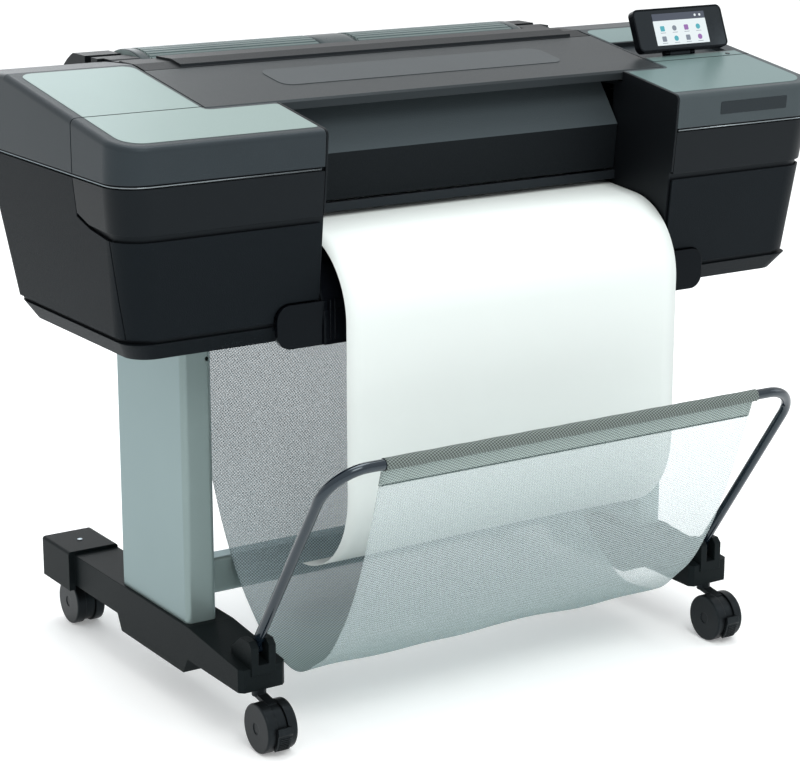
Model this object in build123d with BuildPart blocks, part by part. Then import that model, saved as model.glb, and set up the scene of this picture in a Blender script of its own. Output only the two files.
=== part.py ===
"""Large format plotter on a wheeled stand with a fabric paper bin, in millimetres.

+Z is up, +X is the operator's right and the operator stands on the -Y side.
The origin is on the floor, below the middle of the machine's overall box.
"""
from build123d import *
from math import asin, atan2, cos, degrees, hypot, radians, sin, tan
import os

# ---- overall sizes -------------------------------------------------------
machine_width = 1262.0      # over the two side boxes
media_width = 610.0         # 24 inch roll
half_depth = 432.0          # origin to the bin bar's front and to the foot caps' rear

# ---- stand ---------------------------------------------------------------
foot_centre_x = 424.5
foot_width = 78.0
foot_front = -230.0
foot_rear = half_depth - 4.0
foot_bottom = 88.0
foot_top = 141.0
foot_nose_top = 124.0       # the front end is lower than the beam
belly_bottom = 62.0         # the pocket under the column
cap_length = 102.0
cap_width = 90.0
cap_top = 147.0
cap_offset = 5.0            # the cap stands outwards of the beam
column_width = 51.0
column_depth = 223.0
column_front = -58.0
column_centre_x = 432.5
column_wall = 2.0
column_round = 9.0
accessory_hole_radius = 3.2  # tapped-insert hole on each column's front face
screw_head_radius = 6.0
crossbar_front = 28.0
crossbar_depth = 36.0
crossbar_bottom = 146.0
crossbar_height = 58.0

# ---- casters -------------------------------------------------------------
wheel_radius = 38.0
wheel_thickness = 16.0
wheel_spacing = 34.0           # middle to middle of a pair
axle_radius = 4.0
stem_radius = 5.5
stem_depth = 24.0
running_gap = 0.05          # radial clearance of every shaft in its hole
caster_trail = 34.0
web_width = 16.0
lever_width = 24.0
front_contact_y = -250.0
rear_contact_y = 392.0
front_stem_y = front_contact_y + caster_trail
rear_stem_y = rear_contact_y - caster_trail

# ---- paper bin -----------------------------------------------------------
bar_radius = 8.0
bar_top_z = 469.0
bar_bend = 62.0
bar_eye_width = 15.0
bar_pivot_y = -206.0
bar_pivot_z = 146.0
pin_radius = 4.0
slot_width = 17.0
ear_width = 12.0
rod_radius = 6.0
rod_y = 140.0
rod_z = 576.0
mesh_half_width = 337.0
mesh_thickness = 2.0

# ---- body ----------------------------------------------------------------
wall = 3.0
skin_gap = 2.0              # seams between covers
lid_rod_radius = 1.0        # hinge bead along a lid's rear edge
lid_rod_drop = 1.3
lid_rod_ahead = 0.3
door_rod_radius = 1.8       # hinge bead along an ink door's foot
door_rod_y = -195.3
door_rod_z = 630.6
core_inset = wall + 2.0     # the inner housing stands this far inside the skins
tray_bottom = 597.0
tray_top = 623.0
door_bottom = 629.0
door_top = 771.0
band_bottom = 777.0
band_top = 847.0
lid_bottom = 853.0
box_front_low = -196.0      # front face at the tray
box_front_high = -221.0     # front face at the band's top: it leans forward going up
box_rear_low = 190.0
box_rear_high = 244.0
side_taper = 23.0
corner_radius = 50.0
lid_round = 9.0
least_round = 0.6           # smallest rounding of the innermost copy of the form
skin_edge = 4.0             # the skins end this far from the box's inner face
door_side_y = -172.0
apron_reach = 76.0          # the apron's foot runs under the boxes by this much
apron_shoulder_z = 654.0
apron_round = 22.0
bay_floor_z = 637.0
bay_top_z = 737.0
bay_front_y = 140.0          # front of the roll bay inside the boxes
bay_bottom_z = 692.0
door_hinge = (-24.0, 914.0)  # window door's axis, (y, z)
door_pin_radius = 2.5
door_ridge = (-75.0, 843.0)
door_foot = (-67.0, 771.0)
exit_slot_z = 753.0
bay_reach = 62.0
rear_corner_radius = 22.0
left_inner_x = -302.0
right_inner_x = 331.0
top_front_y = -227.0
top_front_z = 905.0
top_break_y = 150.0
top_break_z = 966.0
top_rear_z = 957.0
left_seam_y = -76.0
right_seam_y = -52.0
cover_left_x = -420.0
cover_right_x = 415.0
cover_lip_y = -82.0
cover_rear_y = 112.0
cover_thickness = 8.0

# ---- paper path ----------------------------------------------------------
paper_thickness = 0.6
paper_right_x = 328.0
bend_centre_y = -117.0      # the sheet falls in front of the apron
bend_centre_z = 620.0
bend_radius = 120.0
curl_centre_y = -97.0
curl_centre_z = 360.0
curl_radius = 140.0
curl_end = 268.0            # degrees
apron_centre_y = -92.0
apron_centre_z = 612.0
apron_radius = 116.0
shoulder_depth = 8.0
head_gap = 2.5              # print heads above the sheet
roller_y = 80.0
roller_radius = 14.0
roller_axle_radius = 4.0
pinch_radius = 6.0

# ---- roll bay ------------------------------------------------------------
roll_axis_y = 285.0
roll_axis_z = 838.0
roll_radius = 60.0
core_tube_radius = 25.4
spindle_radius = 11.0
roll_cover_radius = 132.0
roll_cover_start = 15.0     # degrees from the rear horizontal
roll_cover_sweep = 140.0
trough_gap = 2.0
trough_wall = 3.5
end_wall_top = 964.0
hub_radius = 48.0
deck_lip_y = 200.0
deck_rear_y = 352.0
deck_rear_z = 957.0
rim_left_x = -355.0
rim_right_x = 378.0
bay_half_width = 430.0
cover_half_width = 365.0

# ---- carriage ------------------------------------------------------------
carriage_width = 120.0
park_x = 462.0
rail_front = 64.0
rail_depth = 46.0
rail_bottom = 792.0
rail_top = 848.0
rail_end = 596.0
belt_z = 866.0
pulley_radius = 9.0
pulley_x = 580.0
printhead_count = 6
printhead_width = 14.0
printhead_pitch = 18.0
cartridge_count = 3
cartridge_width = 72.0
cartridge_pitch = 78.0

# ---- display -------------------------------------------------------------
display_width = 186.0
display_height = 72.0
display_thickness = 13.0
display_lean = 22.5
display_left_x = 408.0
display_y = -34.0
display_z = 947.0
display_arm = 6.0           # hinge axis behind the case's back
display_pin_radius = 3.0
pocket_front_y = -25.0
pocket_rear_y = 62.0
pocket_left_x = cover_right_x + 6
pocket_right_x = 596.0
pocket_depth = 8.0
barrel_radius = 5.0
button_x = 584.0
button_y = -43.0
button_radius = 4.0
inlet_x = 250.0
inlet_z = 676.0

half_width = machine_width / 2
top_slope = (top_break_z - top_front_z) / (top_break_y - top_front_y)
paper_left_x = paper_right_x - media_width
apron_left_x = left_inner_x - apron_reach
apron_right_x = right_inner_x + apron_reach
lean = radians(display_lean)
top_angle = atan2(top_slope, 1)
bar_front_y = -half_depth + bar_radius


def side_of(sign):
    """Name of the side, from the sign of its X."""
    return "left" if sign < 0 else "right"


def cover_edge(sign):
    """X of the top cover's edge on one side."""
    return cover_left_x if sign < 0 else cover_right_x


def top_z(y):
    """Height of the sloping top face at y."""
    return top_front_z + top_slope * (y - top_front_y)


def save(piece, name):
    """Label the finished piece and write its STEP file."""
    piece.part.label = name
    export_step(piece.part, f"parts/{name}.step")


os.makedirs("parts", exist_ok=True)


# ==== stand ===============================================================
def rear_cap(sign):
    """Moulded sleeve over the rear end of a foot beam, with a screw hole on top."""
    x = sign * (foot_centre_x + cap_offset)
    bottom = foot_bottom - 8
    with BuildPart() as cap:
        with BuildSketch(Plane.XZ.offset(-half_depth)):
            with Locations((x, (cap_top + bottom) / 2)):
                Rectangle(cap_width, cap_top - bottom)
        extrude(amount=cap_length)
        fillet(cap.edges().filter_by(Axis.Y).group_by(Axis.Z)[-1], 5)
        with BuildSketch(Plane.XZ.offset(-foot_rear)):
            with Locations((sign * foot_centre_x, foot_top / 2)):
                Rectangle(foot_width, foot_top)
        extrude(amount=cap_length, mode=Mode.SUBTRACT)
        with BuildSketch(Plane.XY.offset(foot_top)):
            with Locations((x, half_depth - cap_length / 2)):
                Circle(4.2)
        extrude(amount=cap_top - foot_top, mode=Mode.SUBTRACT)
    return cap.part


def make_foot(sign):
    """Foot beam with its deep belly under the column, two caster sockets and its rear cap."""
    x = sign * foot_centre_x
    with BuildPart() as foot:
        with BuildSketch(Plane.YZ.offset(x - foot_width / 2)):
            with BuildLine():
                Polyline(
                    (foot_front, foot_bottom), (foot_front, foot_nose_top),
                    (column_front - 10, foot_top), (foot_rear, foot_top),
                    (foot_rear, foot_bottom), (column_front + column_depth + 10, foot_bottom),
                    (column_front + column_depth - 4, belly_bottom),
                    (column_front + 8, belly_bottom), (column_front - 8, foot_bottom),
                    close=True,
                )
            make_face()
        extrude(amount=foot_width)
        chamfer(foot.edges().filter_by(Axis.Z).group_by(Axis.Y)[0], 7)
        for stem_y in (front_stem_y, rear_stem_y):
            with BuildSketch(Plane.XY.offset(foot_bottom)):
                with Locations((x, stem_y)):
                    Circle(stem_radius + running_gap)
            extrude(amount=stem_depth + 1, mode=Mode.SUBTRACT)
        add(rear_cap(sign))
    return foot


def make_column(sign):
    """Rolled steel column: a rectangular tube with rounded edges and an accessory hole."""
    x = sign * column_centre_x
    with BuildPart() as column:
        with BuildSketch(Plane.XY.offset(foot_top)):
            with Locations((x, column_front + column_depth / 2)):
                RectangleRounded(column_width, column_depth, column_round)
                RectangleRounded(
                    column_width - 2 * column_wall, column_depth - 2 * column_wall,
                    column_round - column_wall, mode=Mode.SUBTRACT,
                )
        extrude(amount=tray_bottom - foot_top)
        with BuildSketch(Plane.XZ.offset(-column_front)):
            with Locations((x - sign * 17, tray_bottom - 45)):
                Circle(accessory_hole_radius)
        extrude(amount=-column_wall - 1, mode=Mode.SUBTRACT)
    return column


def make_bin_bracket(sign):
    """Clevis on the foot's nose: two ears joined by the pin that carries the bin bar."""
    x = sign * foot_centre_x
    half = slot_width / 2 + ear_width
    with BuildPart() as bracket:
        with BuildSketch(Plane.YZ.offset(x - half)):
            with BuildLine():
                Polyline(
                    (foot_front - 2, foot_nose_top - 12), (foot_front - 2, bar_pivot_z + 10),
                    (foot_front + 6, bar_pivot_z + 18), (bar_pivot_y + 6, bar_pivot_z + 18),
                    (bar_pivot_y + 36, foot_top), (bar_pivot_y + 36, foot_nose_top - 12),
                    close=True,
                )
            make_face()
        extrude(amount=2 * half)
        with BuildSketch(Plane.YZ.offset(x - half - 1)):
            with BuildLine():
                Polyline(
                    (foot_front, 0), (foot_front, foot_nose_top),
                    (column_front - 10, foot_top), (column_front - 10, 0), close=True,
                )
            make_face()
        extrude(amount=2 * half + 2, mode=Mode.SUBTRACT)
        with BuildSketch(Plane.YZ.offset(x - slot_width / 2)):
            with BuildLine():
                Polyline(
                    (foot_front - 10, foot_nose_top + 2), (foot_front - 10, foot_top + 60),
                    (bar_pivot_y + 60, foot_top + 60), (bar_pivot_y + 60, foot_top + 1), close=True,
                )
            make_face()
        extrude(amount=slot_width, mode=Mode.SUBTRACT)
        with BuildSketch(Plane.YZ.offset(x - half + 2)):
            with Locations((bar_pivot_y, bar_pivot_z)):
                Circle(pin_radius)
        extrude(amount=2 * half - 4)
    return bracket


with BuildPart() as crossbar:
    with BuildSketch(Plane.YZ.offset(-(column_centre_x - column_width / 2))):
        with Locations((crossbar_front + crossbar_depth / 2, crossbar_bottom + crossbar_height / 2)):
            RectangleRounded(crossbar_depth, crossbar_height, 6)
            RectangleRounded(crossbar_depth - 4, crossbar_height - 4, 4, mode=Mode.SUBTRACT)
    extrude(amount=2 * column_centre_x - column_width)

with BuildPart() as stand_screws:
    for sign in (-1, 1):
        face_x = sign * (column_centre_x + column_width / 2)
        for spot in ((column_front + 30, tray_bottom - 30), (column_front + 170, tray_bottom - 30)):
            with BuildSketch(Plane.YZ.offset(face_x)):
                with Locations(spot):
                    Circle(screw_head_radius)
            extrude(amount=sign * 2.4)
        with BuildSketch(Plane.XY.offset(foot_top)):
            with Locations((sign * (foot_centre_x + cap_offset), half_depth - cap_length / 2)):
                Circle(4.2 - running_gap)
        extrude(amount=cap_top - foot_top + 1.2)


def make_caster(sign, contact_y, stem_y):
    """Swivel housing between the twin wheels: a disc-shaped web, its shoulder, collar and stem."""
    x = sign * foot_centre_x
    away = 1 if contact_y > stem_y else -1
    with BuildPart() as caster:
        with BuildSketch(Plane.YZ.offset(x - web_width / 2)):
            with Locations((contact_y, wheel_radius)):
                Circle(wheel_radius - 3)
            with BuildLine():
                Polyline(
                    (contact_y, wheel_radius), (contact_y - away * 8, 2 * wheel_radius - 7),
                    (stem_y + away * -9, 2 * wheel_radius - 1), (stem_y + away * 9, 2 * wheel_radius + 3),
                    (contact_y + away * 6, 2 * wheel_radius - 2), close=True,
                )
            make_face()
        extrude(amount=web_width)
        with BuildSketch(Plane.XY.offset(2 * wheel_radius - 1)):
            with Locations((x, stem_y)):
                Circle(11)
        extrude(amount=foot_bottom - 0.5 - (2 * wheel_radius - 1))
        with BuildSketch(Plane.XY.offset(2 * wheel_radius)):
            with Locations((x, stem_y)):
                Circle(stem_radius)
        extrude(amount=foot_bottom + stem_depth - 2 * wheel_radius)
        with BuildSketch(Plane.YZ.offset(x - web_width)):
            with Locations((contact_y, wheel_radius)):
                Circle(axle_radius + running_gap)
        extrude(amount=2 * web_width, mode=Mode.SUBTRACT)
    return caster


def make_wheels(sign, contact_y):
    """Twin wheels, dished on the outside, joined by their axle."""
    x = sign * foot_centre_x
    with BuildPart() as wheels:
        for outward in (-1, 1):
            inner_x = x + outward * (wheel_spacing - wheel_thickness) / 2
            with BuildSketch(Plane.YZ.offset(inner_x)):
                with Locations((contact_y, wheel_radius)):
                    Circle(wheel_radius)
            extrude(amount=outward * wheel_thickness)
            fillet(wheels.edges().filter_by(GeomType.CIRCLE).group_by(Axis.X)[0 if outward < 0 else -1], 3)
            with BuildSketch(Plane.YZ.offset(inner_x + outward * wheel_thickness)):
                with Locations((contact_y, wheel_radius)):
                    Circle(9)
            extrude(amount=-outward * 1.0, mode=Mode.SUBTRACT)
        with BuildSketch(Plane.YZ.offset(x - wheel_spacing / 2)):
            with Locations((contact_y, wheel_radius)):
                Circle(axle_radius)
        extrude(amount=wheel_spacing)
    return wheels


def make_brake_lever(sign):
    """Foot pedal in front of a front caster; it swings down about the wheels' axle."""
    x = sign * foot_centre_x
    inner = wheel_radius + 0.8
    with BuildPart() as lever:
        with BuildSketch(Plane.YZ.offset(x - lever_width / 2)):
            with BuildLine():
                hub = (front_contact_y, wheel_radius)
                face = CenterArc(hub, inner + 6, 166, 14)
                heel = CenterArc(hub, inner + 4, 184, 38)
                back = CenterArc(hub, inner, 166, 56)
                Line(face @ 0, back @ 0)
                Line(face @ 1, heel @ 0)
                Line(heel @ 1, back @ 1)
            make_face()
        extrude(amount=lever_width)
    return lever


# ==== paper bin ===========================================================
def mesh_piece(points, x_low, x_high):
    """Thin curved sheet: a smooth line through (y, z) points, given a thickness."""
    with BuildPart() as sheet:
        with BuildSketch(Plane.YZ.offset(x_low)):
            with BuildLine():
                Spline(*points)
            trace(line_width=mesh_thickness)
        extrude(amount=x_high - x_low)
    return sheet


bar_corner = (foot_centre_x, bar_front_y, bar_top_z)
bar_foot = (foot_centre_x, bar_pivot_y, bar_pivot_z)
with BuildPart() as bin_bar:
    with BuildLine() as bar_path:
        FilletPolyline(
            (-bar_foot[0], *bar_foot[1:]), (-bar_corner[0], *bar_corner[1:]),
            bar_corner, bar_foot, radius=bar_bend,
        )
    with BuildSketch(Plane(origin=bar_path.line @ 0, z_dir=bar_path.line % 0)):
        Circle(bar_radius)
    sweep()
    for sign in (-1, 1):
        with BuildSketch(Plane.YZ.offset(sign * foot_centre_x - bar_eye_width / 2)):
            with Locations((bar_pivot_y, bar_pivot_z)):
                Circle(bar_radius + 2)
        extrude(amount=bar_eye_width)
        with BuildSketch(Plane.YZ.offset(sign * foot_centre_x - bar_eye_width)):
            with Locations((bar_pivot_y, bar_pivot_z)):
                Circle(pin_radius + running_gap)
        extrude(amount=2 * bar_eye_width, mode=Mode.SUBTRACT)

with BuildPart() as bin_rear_rod:
    with BuildSketch(Plane.YZ.offset(-(column_centre_x - column_width / 2))):
        with Locations((rod_y, rod_z)):
            Circle(rod_radius)
    extrude(amount=2 * column_centre_x - column_width)

bin_rear_mesh = mesh_piece(
    [(rod_y - 8, rod_z - 8), (104, 380), (58, 255), (-6, 158), (-70, 102), (-140, 76)],
    -mesh_half_width, mesh_half_width,
)
bin_front_mesh = mesh_piece(
    [(-178, 80), (-240, 113), (-304, 184), (-366, 306), (bar_front_y + 10, bar_top_z - 16)],
    -mesh_half_width, mesh_half_width,
)


# ==== side boxes ==========================================================
def box_sketch(sign, inner_x, outer_x, front_y, rear_y, inset):
    """Plan of a side box: square towards the machine's middle, rounded outside."""
    low_x, high_x = sorted((inner_x, outer_x - sign * inset))
    with BuildSketch(mode=Mode.PRIVATE) as plan:
        with Locations(((low_x + high_x) / 2, (front_y + rear_y) / 2)):
            Rectangle(high_x - low_x, rear_y - front_y - 2 * inset)
        outside = plan.vertices().group_by(Axis.X)[0 if sign < 0 else -1]
        fillet(outside.sort_by(Axis.Y)[0], corner_radius - inset)
        outside = plan.vertices().group_by(Axis.X)[0 if sign < 0 else -1]
        fillet(outside.sort_by(Axis.Y)[-1], rear_corner_radius - inset)
    return plan.sketch


def box_block(sign, inner_x, inset=0.0, drop=0.0):
    """Whole outer form of a side box, moved in by inset, its sloped top lowered by drop."""
    outer = sign * half_width
    low = outer - sign * side_taper
    levels = (
        (tray_top, low, box_front_low, box_rear_low),
        (band_top, outer, box_front_high, box_rear_high),
        (top_break_z + 40, outer, box_front_high - 12, box_rear_high + 6),
    )
    with BuildPart() as block:
        for below, above in zip(levels, levels[1:]):
            for z, outer_x, front_y, rear_y in (below, above):
                with BuildSketch(Plane.XY.offset(z)):
                    add(box_sketch(sign, inner_x, outer_x, front_y, rear_y, inset))
            loft(ruled=True)
        with BuildSketch(Plane.YZ.offset(min(inner_x, outer) - 5)):
            with BuildLine():
                Polyline(
                    (-300, tray_top), (-300, top_z(-300) - drop), (top_break_y, top_break_z - drop),
                    (300, top_rear_z - drop), (300, tray_top), close=True,
                )
            make_face()
        extrude(amount=abs(outer - inner_x) + 10, mode=Mode.INTERSECT)
        # round the rim of the top, all but the side that faces the machine's middle
        top_faces = block.faces().filter_by(lambda face: face.normal_at().Z > 0.9)
        inner_edges = block.faces().sort_by(Axis.X)[-1 if sign < 0 else 0].edges()
        rim = [
            edge for edge in top_faces.edges()
            if sum(edge in face.edges() for face in top_faces) == 1 and edge not in inner_edges
        ]
        fillet(rim, max(lid_round - inset, least_round))
    return block.part


def region(points, x_low, x_high):
    """Prism that a cover is cut from, given as a closed (y, z) outline."""
    with BuildPart() as prism:
        with BuildSketch(Plane.YZ.offset(x_low)):
            with BuildLine():
                Polyline(*points, close=True)
            make_face()
        extrude(amount=x_high - x_low)
    return prism.part


def box_slice(sign, inner_x, inset, x_low, x_high, outline):
    """The stretch of a side box's form that lies inside an outline."""
    with BuildPart() as piece:
        add(box_block(sign, inner_x, inset, inset))
        add(region(outline, x_low, x_high), mode=Mode.INTERSECT)
    return piece.part


def hollow_of(sign, inner_x):
    """Space inside the inner frame's walls, from its floor to its roof."""
    low, high = sorted((inner_x, sign * (half_width + 5)))
    with BuildPart() as space:
        add(box_block(sign, inner_x + sign * wall, core_inset + wall, core_inset + wall))
        add(block_of(low, high, -300, 300, bay_floor_z - 1, 1100), mode=Mode.INTERSECT)
    return space.part


def make_skin(sign, inner_x, outline, cut_outs=()):
    """Outer cover of a side box: the box's form less a smaller copy, inside an outline."""
    shell_x = inner_x + sign * skin_edge
    with BuildPart() as skin:
        add(box_block(sign, shell_x))
        add(box_block(sign, shell_x - sign * 20, wall, wall), mode=Mode.SUBTRACT)
        x_low, x_high = sorted((shell_x, sign * (half_width + 5)))
        add(region(outline, x_low, x_high), mode=Mode.INTERSECT)
        for piece in cut_outs:
            add(piece, mode=Mode.SUBTRACT)
    return skin


def block_of(x_low, x_high, y_low, y_high, z_low, z_high):
    """Plain block between two corners, used for openings and bosses."""
    centre = ((x_low + x_high) / 2, (y_low + y_high) / 2, (z_low + z_high) / 2)
    with BuildPart() as block:
        with Locations(centre):
            Box(x_high - x_low, y_high - y_low, z_high - z_low)
    return block.part


def make_housing(sign, inner_x):
    """Inner frame of a side box: cartridge bay below, carriage bay above, trim band."""
    edge = sign * wall
    shell_low, shell_high = sorted((inner_x, sign * (half_width + 5)))
    band_low, band_high = sorted((inner_x + sign * skin_edge, sign * (half_width + 5)))
    door_low, door_high = sorted((inner_x + sign * 8, sign * (half_width - side_taper - 22)))
    cut_low, cut_high = sorted((inner_x - edge, inner_x + 2 * edge))
    flange_low, flange_high = sorted((inner_x, inner_x + edge))
    under_low, under_high = sorted((inner_x - edge, cover_edge(sign) + sign * skin_gap))
    bay_low, bay_high = sorted((inner_x, sign * (bay_half_width + 2)))
    wall_low, wall_high = sorted((inner_x, sign * (bay_half_width + 2 + wall)))
    seam = left_seam_y if sign < 0 else right_seam_y
    with BuildPart() as housing:
        add(box_block(sign, inner_x, core_inset, core_inset))
        add(hollow_of(sign, inner_x), mode=Mode.SUBTRACT)
        # shelf that the service parts stand on, and the wall around the roll bay
        add(box_slice(sign, inner_x, core_inset + 1, shell_low, shell_high, [
            (-300, bay_top_z), (-300, bay_top_z + wall), (bay_front_y - wall / 2, bay_top_z + wall),
            (bay_front_y - wall / 2, bay_top_z),
        ]))
        add(box_slice(sign, inner_x, core_inset + 1, wall_low, wall_high, [
            (bay_front_y - wall, bay_bottom_z - wall), (bay_front_y - wall, top_z(bay_front_y) - 16),
            (300, top_z(bay_front_y) - 16), (300, bay_bottom_z - wall),
        ]))
        add(block_of(bay_low, bay_high, bay_front_y, 300, bay_bottom_z, 1100), mode=Mode.SUBTRACT)
        # trim band between the lid and the ink door
        add(box_slice(sign, inner_x, 0, band_low, band_high, [
            (-300, band_bottom), (-300, band_top), (seam - 1, band_top),
            (seam - 1, band_bottom + 20), (seam - 36, band_bottom + 8),
        ]))
        add(hollow_of(sign, inner_x + sign * skin_edge), mode=Mode.SUBTRACT)
        # flange beside the paper window, as high as the lid
        add(box_slice(sign, inner_x, 0, flange_low, flange_high, [
            (-300, band_bottom + 7), (-300, 1050), (cover_lip_y - 3, 1050),
            (cover_lip_y - 3, band_bottom + 7),
        ]))
        # room for the top cover's thickness and lip
        add(region([
            (cover_lip_y - 3, top_z(cover_lip_y) - 17), (cover_lip_y - 3, 1100), (300, 1100),
            (300, top_break_z - 12), (top_break_y, top_break_z - 11),
            (-64, top_z(-64) - 11), (-66, top_z(cover_lip_y) - 17),
        ], under_low, under_high), mode=Mode.SUBTRACT)
        # mouth of the cartridge bay, and the carriage's way through the inner wall
        add(block_of(door_low, door_high, -260, -150, bay_floor_z, bay_top_z - 2), mode=Mode.SUBTRACT)
        add(block_of(cut_low, cut_high, -bay_reach, 130, bay_top_z + wall, 905), mode=Mode.SUBTRACT)
        # bearing hole of the window door
        with BuildSketch(Plane.YZ.offset(cut_low)):
            with Locations(door_hinge):
                Circle(door_pin_radius + running_gap)
        extrude(amount=cut_high - cut_low, mode=Mode.SUBTRACT)
    return housing


def apron_notch(ends):
    """Round-cornered space in a box's skin and in the tray for the foot of the apron."""
    with BuildPart() as notch:
        with BuildSketch(Plane.XZ.offset(-(box_front_low + 4.5))):
            with Locations(((ends[0] + ends[1]) / 2, apron_shoulder_z + skin_gap - 60)):
                RectangleRounded(ends[1] - ends[0], 120, apron_round + skin_gap)
        extrude(amount=200)
    return notch.part


def make_ink_door(sign, inner_x):
    """Front door of the cartridge bay; it wraps the outer corner and hinges at its foot."""
    notch_x = inner_x + sign * apron_reach
    notch = apron_notch(sorted((inner_x - sign * 60, notch_x + sign * skin_gap)))
    outline = [(-300, door_bottom), (-300, door_top), (door_side_y, door_top), (door_side_y, door_bottom)]
    low_x, high_x = sorted((notch_x + sign * 8, sign * (half_width - side_taper - corner_radius - 4)))
    with BuildPart() as door:
        add(make_skin(sign, inner_x, outline, [notch]).part)
        with BuildSketch(Plane.YZ.offset(low_x)):
            with Locations((door_rod_y, door_rod_z)):
                Circle(door_rod_radius)
        extrude(amount=high_x - low_x)
    return door


def make_side_panel(sign, inner_x):
    """Lower side and rear cover of a side box."""
    seam = left_seam_y if sign < 0 else right_seam_y
    outline = [
        (door_side_y + skin_gap, door_bottom), (door_side_y + skin_gap, band_bottom - 6),
        (seam - 37, band_bottom + 2), (seam + 1, band_bottom + 14), (seam + 1, band_top),
        (300, band_top), (300, door_bottom),
    ]
    x_low, x_high = sorted((inner_x, sign * (bay_half_width + 2)))
    return make_skin(sign, inner_x, outline, [block_of(x_low, x_high, bay_front_y, 300, bay_bottom_z, 1100)])


def lip_notch(sign, inner_x):
    """Space at a lid's inner rear corner for the top cover's front lip."""
    low_x, high_x = sorted((inner_x - sign * 5, cover_edge(sign) + sign * skin_gap))
    return block_of(low_x, high_x, cover_lip_y - skin_gap, 300, band_top, 1100)


def make_lid(sign, inner_x):
    """Front top lid with its deep front band; hinged along its rear top edge."""
    seam = left_seam_y if sign < 0 else right_seam_y
    rear_y = seam - skin_gap / 2
    outline = [(-300, lid_bottom), (-300, 1100), (rear_y, 1100), (rear_y, lid_bottom)]
    low_x, high_x = sorted((cover_edge(sign) + sign * 20, sign * (half_width - 30)))
    with BuildPart() as lid:
        add(make_skin(sign, inner_x, outline, [lip_notch(sign, inner_x)]).part)
        with BuildSketch(Plane.YZ.offset(low_x)):
            with Locations((seam - lid_rod_ahead, top_z(seam) - lid_rod_drop)):
                Circle(lid_rod_radius)
        extrude(amount=high_x - low_x)
    return lid


def make_rear_top(sign, inner_x):
    """Fixed rear half of a side box's top, reaching from the lid's seam to the back."""
    seam = left_seam_y if sign < 0 else right_seam_y
    front_y = seam + skin_gap / 2 + 0.5
    outline = [(front_y, lid_bottom), (front_y, 1100), (300, 1100), (300, lid_bottom)]
    low_x, high_x = sorted((inner_x - sign * 5, cover_edge(sign) + sign * skin_gap))
    beside_cover = block_of(low_x, high_x, -300, 300, lid_bottom - 5, 1100)
    return make_skin(sign, inner_x, outline, [beside_cover])


# ==== bottom tray, apron and platen =======================================
apron_front_y = apron_centre_y - apron_radius
platen_rear_y = 118.0
# the sheet's straight stretch is the common tangent of the roll and the front bend
roll_reach = roll_radius + 0.3 + paper_thickness / 2
span_y, span_z = roll_axis_y - bend_centre_y, roll_axis_z - bend_centre_z
paper_slope = atan2(span_z, span_y) - asin((roll_reach + bend_radius) / hypot(span_y, span_z))
bend_start = (bend_centre_y - bend_radius * sin(paper_slope), bend_centre_z + bend_radius * cos(paper_slope))
roll_exit = (roll_axis_y + roll_reach * sin(paper_slope), roll_axis_z - roll_reach * cos(paper_slope))


def sheet_z(y):
    """Height of the sheet's middle at y, on its straight stretch."""
    return bend_start[1] + (y - bend_start[0]) * tan(paper_slope)


roller_z = sheet_z(roller_y) - (roller_radius + 0.6) / cos(paper_slope)
pinch_z = sheet_z(roller_y) + (pinch_radius + 0.6) / cos(paper_slope)
head_rear_y = 29.5
head_bottom = sheet_z(head_rear_y) + head_gap

with BuildPart() as base_tray:
    for z, x_size, front_y, rear_y in (
        (tray_bottom, half_width - side_taper - 16, box_front_low + 18, box_rear_low - 16),
        (tray_top, half_width - side_taper, box_front_low, box_rear_low),
    ):
        with BuildSketch(Plane.XY.offset(z)):
            with Locations((0, (front_y + rear_y) / 2)):
                RectangleRounded(2 * x_size, rear_y - front_y, rear_corner_radius + 14)
    loft(ruled=True)
    with BuildSketch(Plane.XY.offset(tray_bottom + wall)):
        with Locations((0, (box_front_low + box_rear_low) / 2)):
            RectangleRounded(
                machine_width - 2 * side_taper - 44, box_rear_low - box_front_low - 44, rear_corner_radius,
            )
    extrude(amount=tray_top, mode=Mode.SUBTRACT)
    add(apron_notch((apron_left_x - skin_gap, apron_right_x + skin_gap)), mode=Mode.SUBTRACT)

with BuildPart() as output_apron:
    with BuildSketch(Plane.YZ.offset(left_inner_x)):
        with BuildLine():
            bend = CenterArc((apron_centre_y, apron_centre_z), apron_radius - wall / 2, 94, 86)
            Line(bend @ 1, (apron_front_y + wall / 2, tray_bottom - 8))
            Line(bend @ 0, (-64, sheet_z(-64) - 5.5))
        trace(line_width=wall)
    extrude(amount=right_inner_x - left_inner_x)
    with BuildSketch(Plane.XZ.offset(-(box_front_low - 0.5))):
        with Locations(((apron_left_x + apron_right_x) / 2, (apron_shoulder_z + tray_bottom - 8) / 2)):
            RectangleRounded(apron_right_x - apron_left_x, apron_shoulder_z - tray_bottom + 8, apron_round)
    extrude(amount=shoulder_depth)
    add(block_of(
        left_inner_x + 1, right_inner_x - 1, apron_front_y + 1.5, box_front_low - 0.5, tray_bottom - 8, 640,
    ))

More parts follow.
